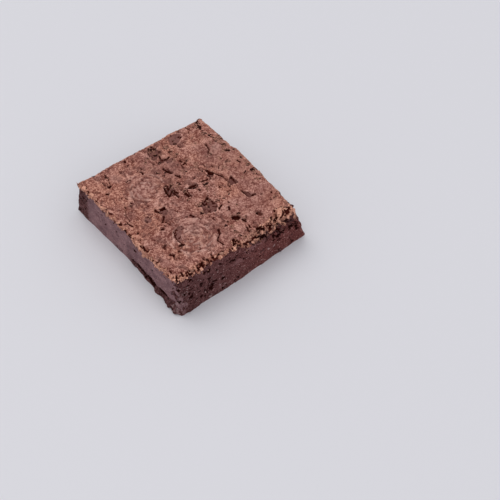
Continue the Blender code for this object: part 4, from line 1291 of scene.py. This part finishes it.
# Pits, cracks, nicks and seams: near-black painted shade over the dark crumb below
skin = place.attribute("pit").step(0.3, 0.7).blend(skin, PIT_SHADE_COLOUR)
skin.feed("Base Color")
place.bump(0.0006)
crust.data.materials.append(papery)
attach(crust, "root")
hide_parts("brownie")

# The flakes
# Splinters of the crust that lifted where the knife and the crumbled shoulder broke it. Each is a
# thin curled plate, still held at one edge, and most stand along the right side's top.
FLAKES = 170
FLAKE_SEED = 29
FLAKE_SIDES = 7
FLAKE_THICKNESS = 0.16

# Their least and largest size and how strongly small ones prevail, the share of it off the rim,
# and the least and most of the rest: how ragged, long, wide and curled, and the lift in degrees
FLAKE_SIZES = (0.7, 2.2, 2.2)
ELSEWHERE_SIZE = 0.55
FLAKE_RAGGED = (0.35, 1.0)
FLAKE_LENGTH = (1.0, 1.6)
FLAKE_WIDTH = (0.4, 0.9)
FLAKE_CURL = (0.05, 0.5)
FLAKE_LIFT = (4.0, 42.0)
FLAKE_CLEAR = 0.05

# How far down the crust's border flakes still stand, how wide the near rim is, the share of
# flakes that bare crumb has shed, and how likely others are on the rim, at lips and on the edge
FLAKE_LOWEST = 0.7
NEAR_RIM_BAND = (1.6, 0.6)
BARE_SHEDS = 0.97
FLAKES_AT_NEAR_RIM = 0.16
FLAKES_AT_LIPS = 0.05
FLAKES_ON_EDGE = 0.05


def joined_copies(name, pattern, spots):
    """One mesh from many copies of a modelled pattern, each given as its own array of points."""
    faces = [tuple(face.vertices) for face in pattern.data.polygons]
    count = len(pattern.data.vertices)
    all_faces = [
        tuple(corner + count * copy for corner in face)
        for copy in range(len(spots))
        for face in faces
    ]
    mesh = bpy.data.meshes.new(name)
    mesh.from_pydata(np.concatenate(spots).tolist(), [], all_faces)
    mesh.update()
    bpy.data.objects.remove(pattern)
    piece = bpy.data.objects.new(name, mesh)
    bpy.context.scene.collection.objects.link(piece)
    return piece


def facing(normal, turn):
    """Three axes for a copy that lies on a surface with this normal, turned about it."""
    normal = Vector(normal).normalized()
    side = normal.orthogonal().normalized()
    across = normal.cross(side)
    first = side * math.cos(turn) + across * math.sin(turn)
    return np.array((first, normal.cross(first), normal))


bpy.ops.object.select_all(action="DESELECT")
bpy.ops.mesh.primitive_circle_add(vertices=FLAKE_SIDES, radius=1.0, fill_type="TRIFAN")
pattern = bpy.context.object
bpy.ops.object.mode_set(mode="EDIT")
bpy.ops.mesh.extrude_region_move(TRANSFORM_OT_translate={"value": (0.0, 0.0, 1.0)})
bpy.ops.mesh.select_all(action="SELECT")
bpy.ops.mesh.normals_make_consistent(inside=False)
settle_order(pattern)
plate = points_of(pattern)
angle = np.arctan2(plate[:, 1], plate[:, 0])
corner = np.round(angle / (math.tau / FLAKE_SIDES)).astype(int) % FLAKE_SIDES
from_middle = np.hypot(plate[:, 0], plate[:, 1])

draw = np.random.default_rng(FLAKE_SEED)
on_top = (crust_normals[:, 2] > 0.0) | (flaky > 0.3)
rim_share = flaky * (1.0 - void) * (1.0 - BARE_SHEDS * eased(0.0, 0.4, bare))
near_gap = crust_points[:, 1] + distance_out(NEAR_CRUST, crust_points[:, 0])
near_rim = eased(*NEAR_RIM_BAND, near_gap)
likely = rim_share + FLAKES_AT_NEAR_RIM * near_rim + FLAKES_AT_LIPS * lip + FLAKES_ON_EDGE * chipped
weight = on_top * (1.0 - tuck) * likely
weight[down > FLAKE_LOWEST] = 0.0
chosen = drawn_places(draw, weight, FLAKES)
copies = []
shades = []
for index in chosen:
    size = drawn_size(draw, *FLAKE_SIZES)
    size *= ELSEWHERE_SIZE if rim_share[index] < 0.3 else 1.0
    shades.append(draw.random())
    ragged = draw.uniform(*FLAKE_RAGGED, FLAKE_SIDES)[corner]
    long = size / 2 * draw.uniform(*FLAKE_LENGTH)
    wide = size / 2 * draw.uniform(*FLAKE_WIDTH)
    curl = draw.uniform(*FLAKE_CURL)
    shape = np.stack((
        plate[:, 0] * ragged * long,
        plate[:, 1] * ragged * wide,
        plate[:, 2] * FLAKE_THICKNESS * (1.0 - 0.5 * from_middle) + curl * size * 0.3 * from_middle,
    ), 1)
    lift = math.radians(draw.uniform(*FLAKE_LIFT))
    tipped = shape.copy()
    tipped[:, 0] = shape[:, 0] * math.cos(lift) - shape[:, 2] * math.sin(lift)
    tipped[:, 2] = shape[:, 0] * math.sin(lift) + shape[:, 2] * math.cos(lift) + FLAKE_CLEAR
    axes = facing(crust_normals[index], draw.uniform(0.0, math.tau))
    copies.append(tipped @ axes + crust_points[index])
flakes = joined_copies("flakes", pattern, copies)
paint(flakes, shade=np.repeat(shades, len(plate)))
to_place(flakes)

splinter, place = new_finish("crust_splinter", CRUST_ROUGHNESS, CRUST_GLOSS)
tone = place.attribute("shade") * 0.9 + place.noise(0.0007, 2.0, 0.6) * 1.4 - 0.65
tone.step(0.0, 1.0).blend(FLAKE_DARK, FLAKE_LIGHT).feed("Base Color")
flakes.data.materials.append(splinter)
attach(flakes, "root")
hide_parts("brownie")

# The crumbs
# Loose lumps of the batter that cling where it broke: the crumbled shoulder, the torn foot, the
# corners and the broken patches of crust.
CRUMBS = 400
CRUMB_SEED = 31

# Their least and largest size and how strongly small ones prevail, how unevenly each is stretched
# and knobbed, how round it is, and how far it stands off the surface, as a share of its size
CRUMB_SIZES = (0.35, 1.3, 2.6)
CRUMB_STRETCH = (0.5, 1.3)
CRUMB_KNOBS = (-0.24, 0.24)
CRUMB_ROUNDNESS = 0.8
CRUMB_CLEAR = 0.12

# The corner between the near and right sides, with the reach of the crumbs heaped on it, and how
# likely crumbs are on it, on the torn foot, low on the other sides and anywhere on them
FRONT_CORNER = (37.5, -36.0)
CORNER_REACH = (5.0, 1.5)
FOOT_REACH = (3.0, 0.5)
NEAR_FOOT_ENDS = -30.0
CRUMBS_AT_CORNER = 0.5
CRUMBS_ON_TORN = 0.35
CRUMBS_AT_FOOT = 0.02
CRUMBS_ANYWHERE = 0.012
LOWEST_CRUMB = 0.3

# The same on the crust, for its flaky edge, where that is bare, and the floors of broken places
CRUMBS_ON_FLAKY = 0.03
CRUMBS_ON_BARE = 0.14
CRUMBS_ON_BROKEN = 0.06

bpy.ops.object.select_all(action="DESELECT")
bpy.ops.mesh.primitive_cube_add(size=1.0)
pattern = bpy.context.object
bpy.ops.object.mode_set(mode="EDIT")
bpy.ops.mesh.subdivide(number_cuts=1)
bpy.ops.transform.tosphere(value=CRUMB_ROUNDNESS)
settle_order(pattern)
lump = points_of(pattern)
crumb_points = points_of(crumb) / METRES_PER_MM - np.array((*FOOT_SHIFT, 0.0))
crumb_normals = normals_of(crumb)
all_points = np.concatenate((crust_points, crumb_points))
all_normals = np.concatenate((crust_normals, crumb_normals))
front_corner = eased(*CORNER_REACH, gap_from(crumb_points, FRONT_CORNER))
low = eased(*FOOT_REACH, crumb_points[:, 2])
on_near = crumb_points[:, 1] < NEAR_FOOT_ENDS
on_rest = crumb_points[:, 1] > NEAR_FOOT_ENDS
foot_share = CRUMBS_ON_TORN * torn(crumb_points) * on_near + CRUMBS_AT_CORNER * front_corner
foot_share += CRUMBS_AT_FOOT * low * on_rest + CRUMBS_ANYWHERE
crust_share = CRUMBS_ON_FLAKY * flaky + CRUMBS_ON_BARE * flaky * bare + CRUMBS_ON_BROKEN * broken
weight = np.concatenate((
    (1.0 - tuck) * crust_share,
    foot_share * on_side * (crumb_points[:, 2] > LOWEST_CRUMB),
))
draw = np.random.default_rng(CRUMB_SEED)
chosen = drawn_places(draw, weight, CRUMBS)
copies = []
shades = []
for index in chosen:
    size = drawn_size(draw, *CRUMB_SIZES)
    shape = lump * draw.uniform(*CRUMB_STRETCH, 3) + draw.uniform(*CRUMB_KNOBS, lump.shape)
    axes = facing(all_normals[index], draw.uniform(0.0, math.tau))
    spot = shape * size @ axes + all_points[index] + all_normals[index] * size * CRUMB_CLEAR
    spot[:, 2] = np.maximum(spot[:, 2], 0.0)
    copies.append(spot)
    shades.append(draw.random() * (1.0 - bare[index]) if index < len(crust_points) else 0.0)
crumbs = joined_copies("crumbs", pattern, copies)
paint(crumbs, shade=np.repeat(shades, len(lump)))
to_place(crumbs)
for face in crumbs.data.polygons:
    face.use_smooth = True

morsel, place = new_finish("crumb_morsel", BATTER_ROUGHNESS, BATTER_GLOSS)
speckle = place.noise(0.0006, 3.0, 0.7)
bare = (speckle * 1.8 - 0.5).step(0.0, 0.9).blend(CRUMB_DARK, CRUMB_LIGHT)
(place.attribute("shade") * 0.6).blend(bare, FLAKE_LIGHT).feed("Base Color")
crumbs.data.materials.append(morsel)
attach(crumbs, "root")
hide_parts("brownie")
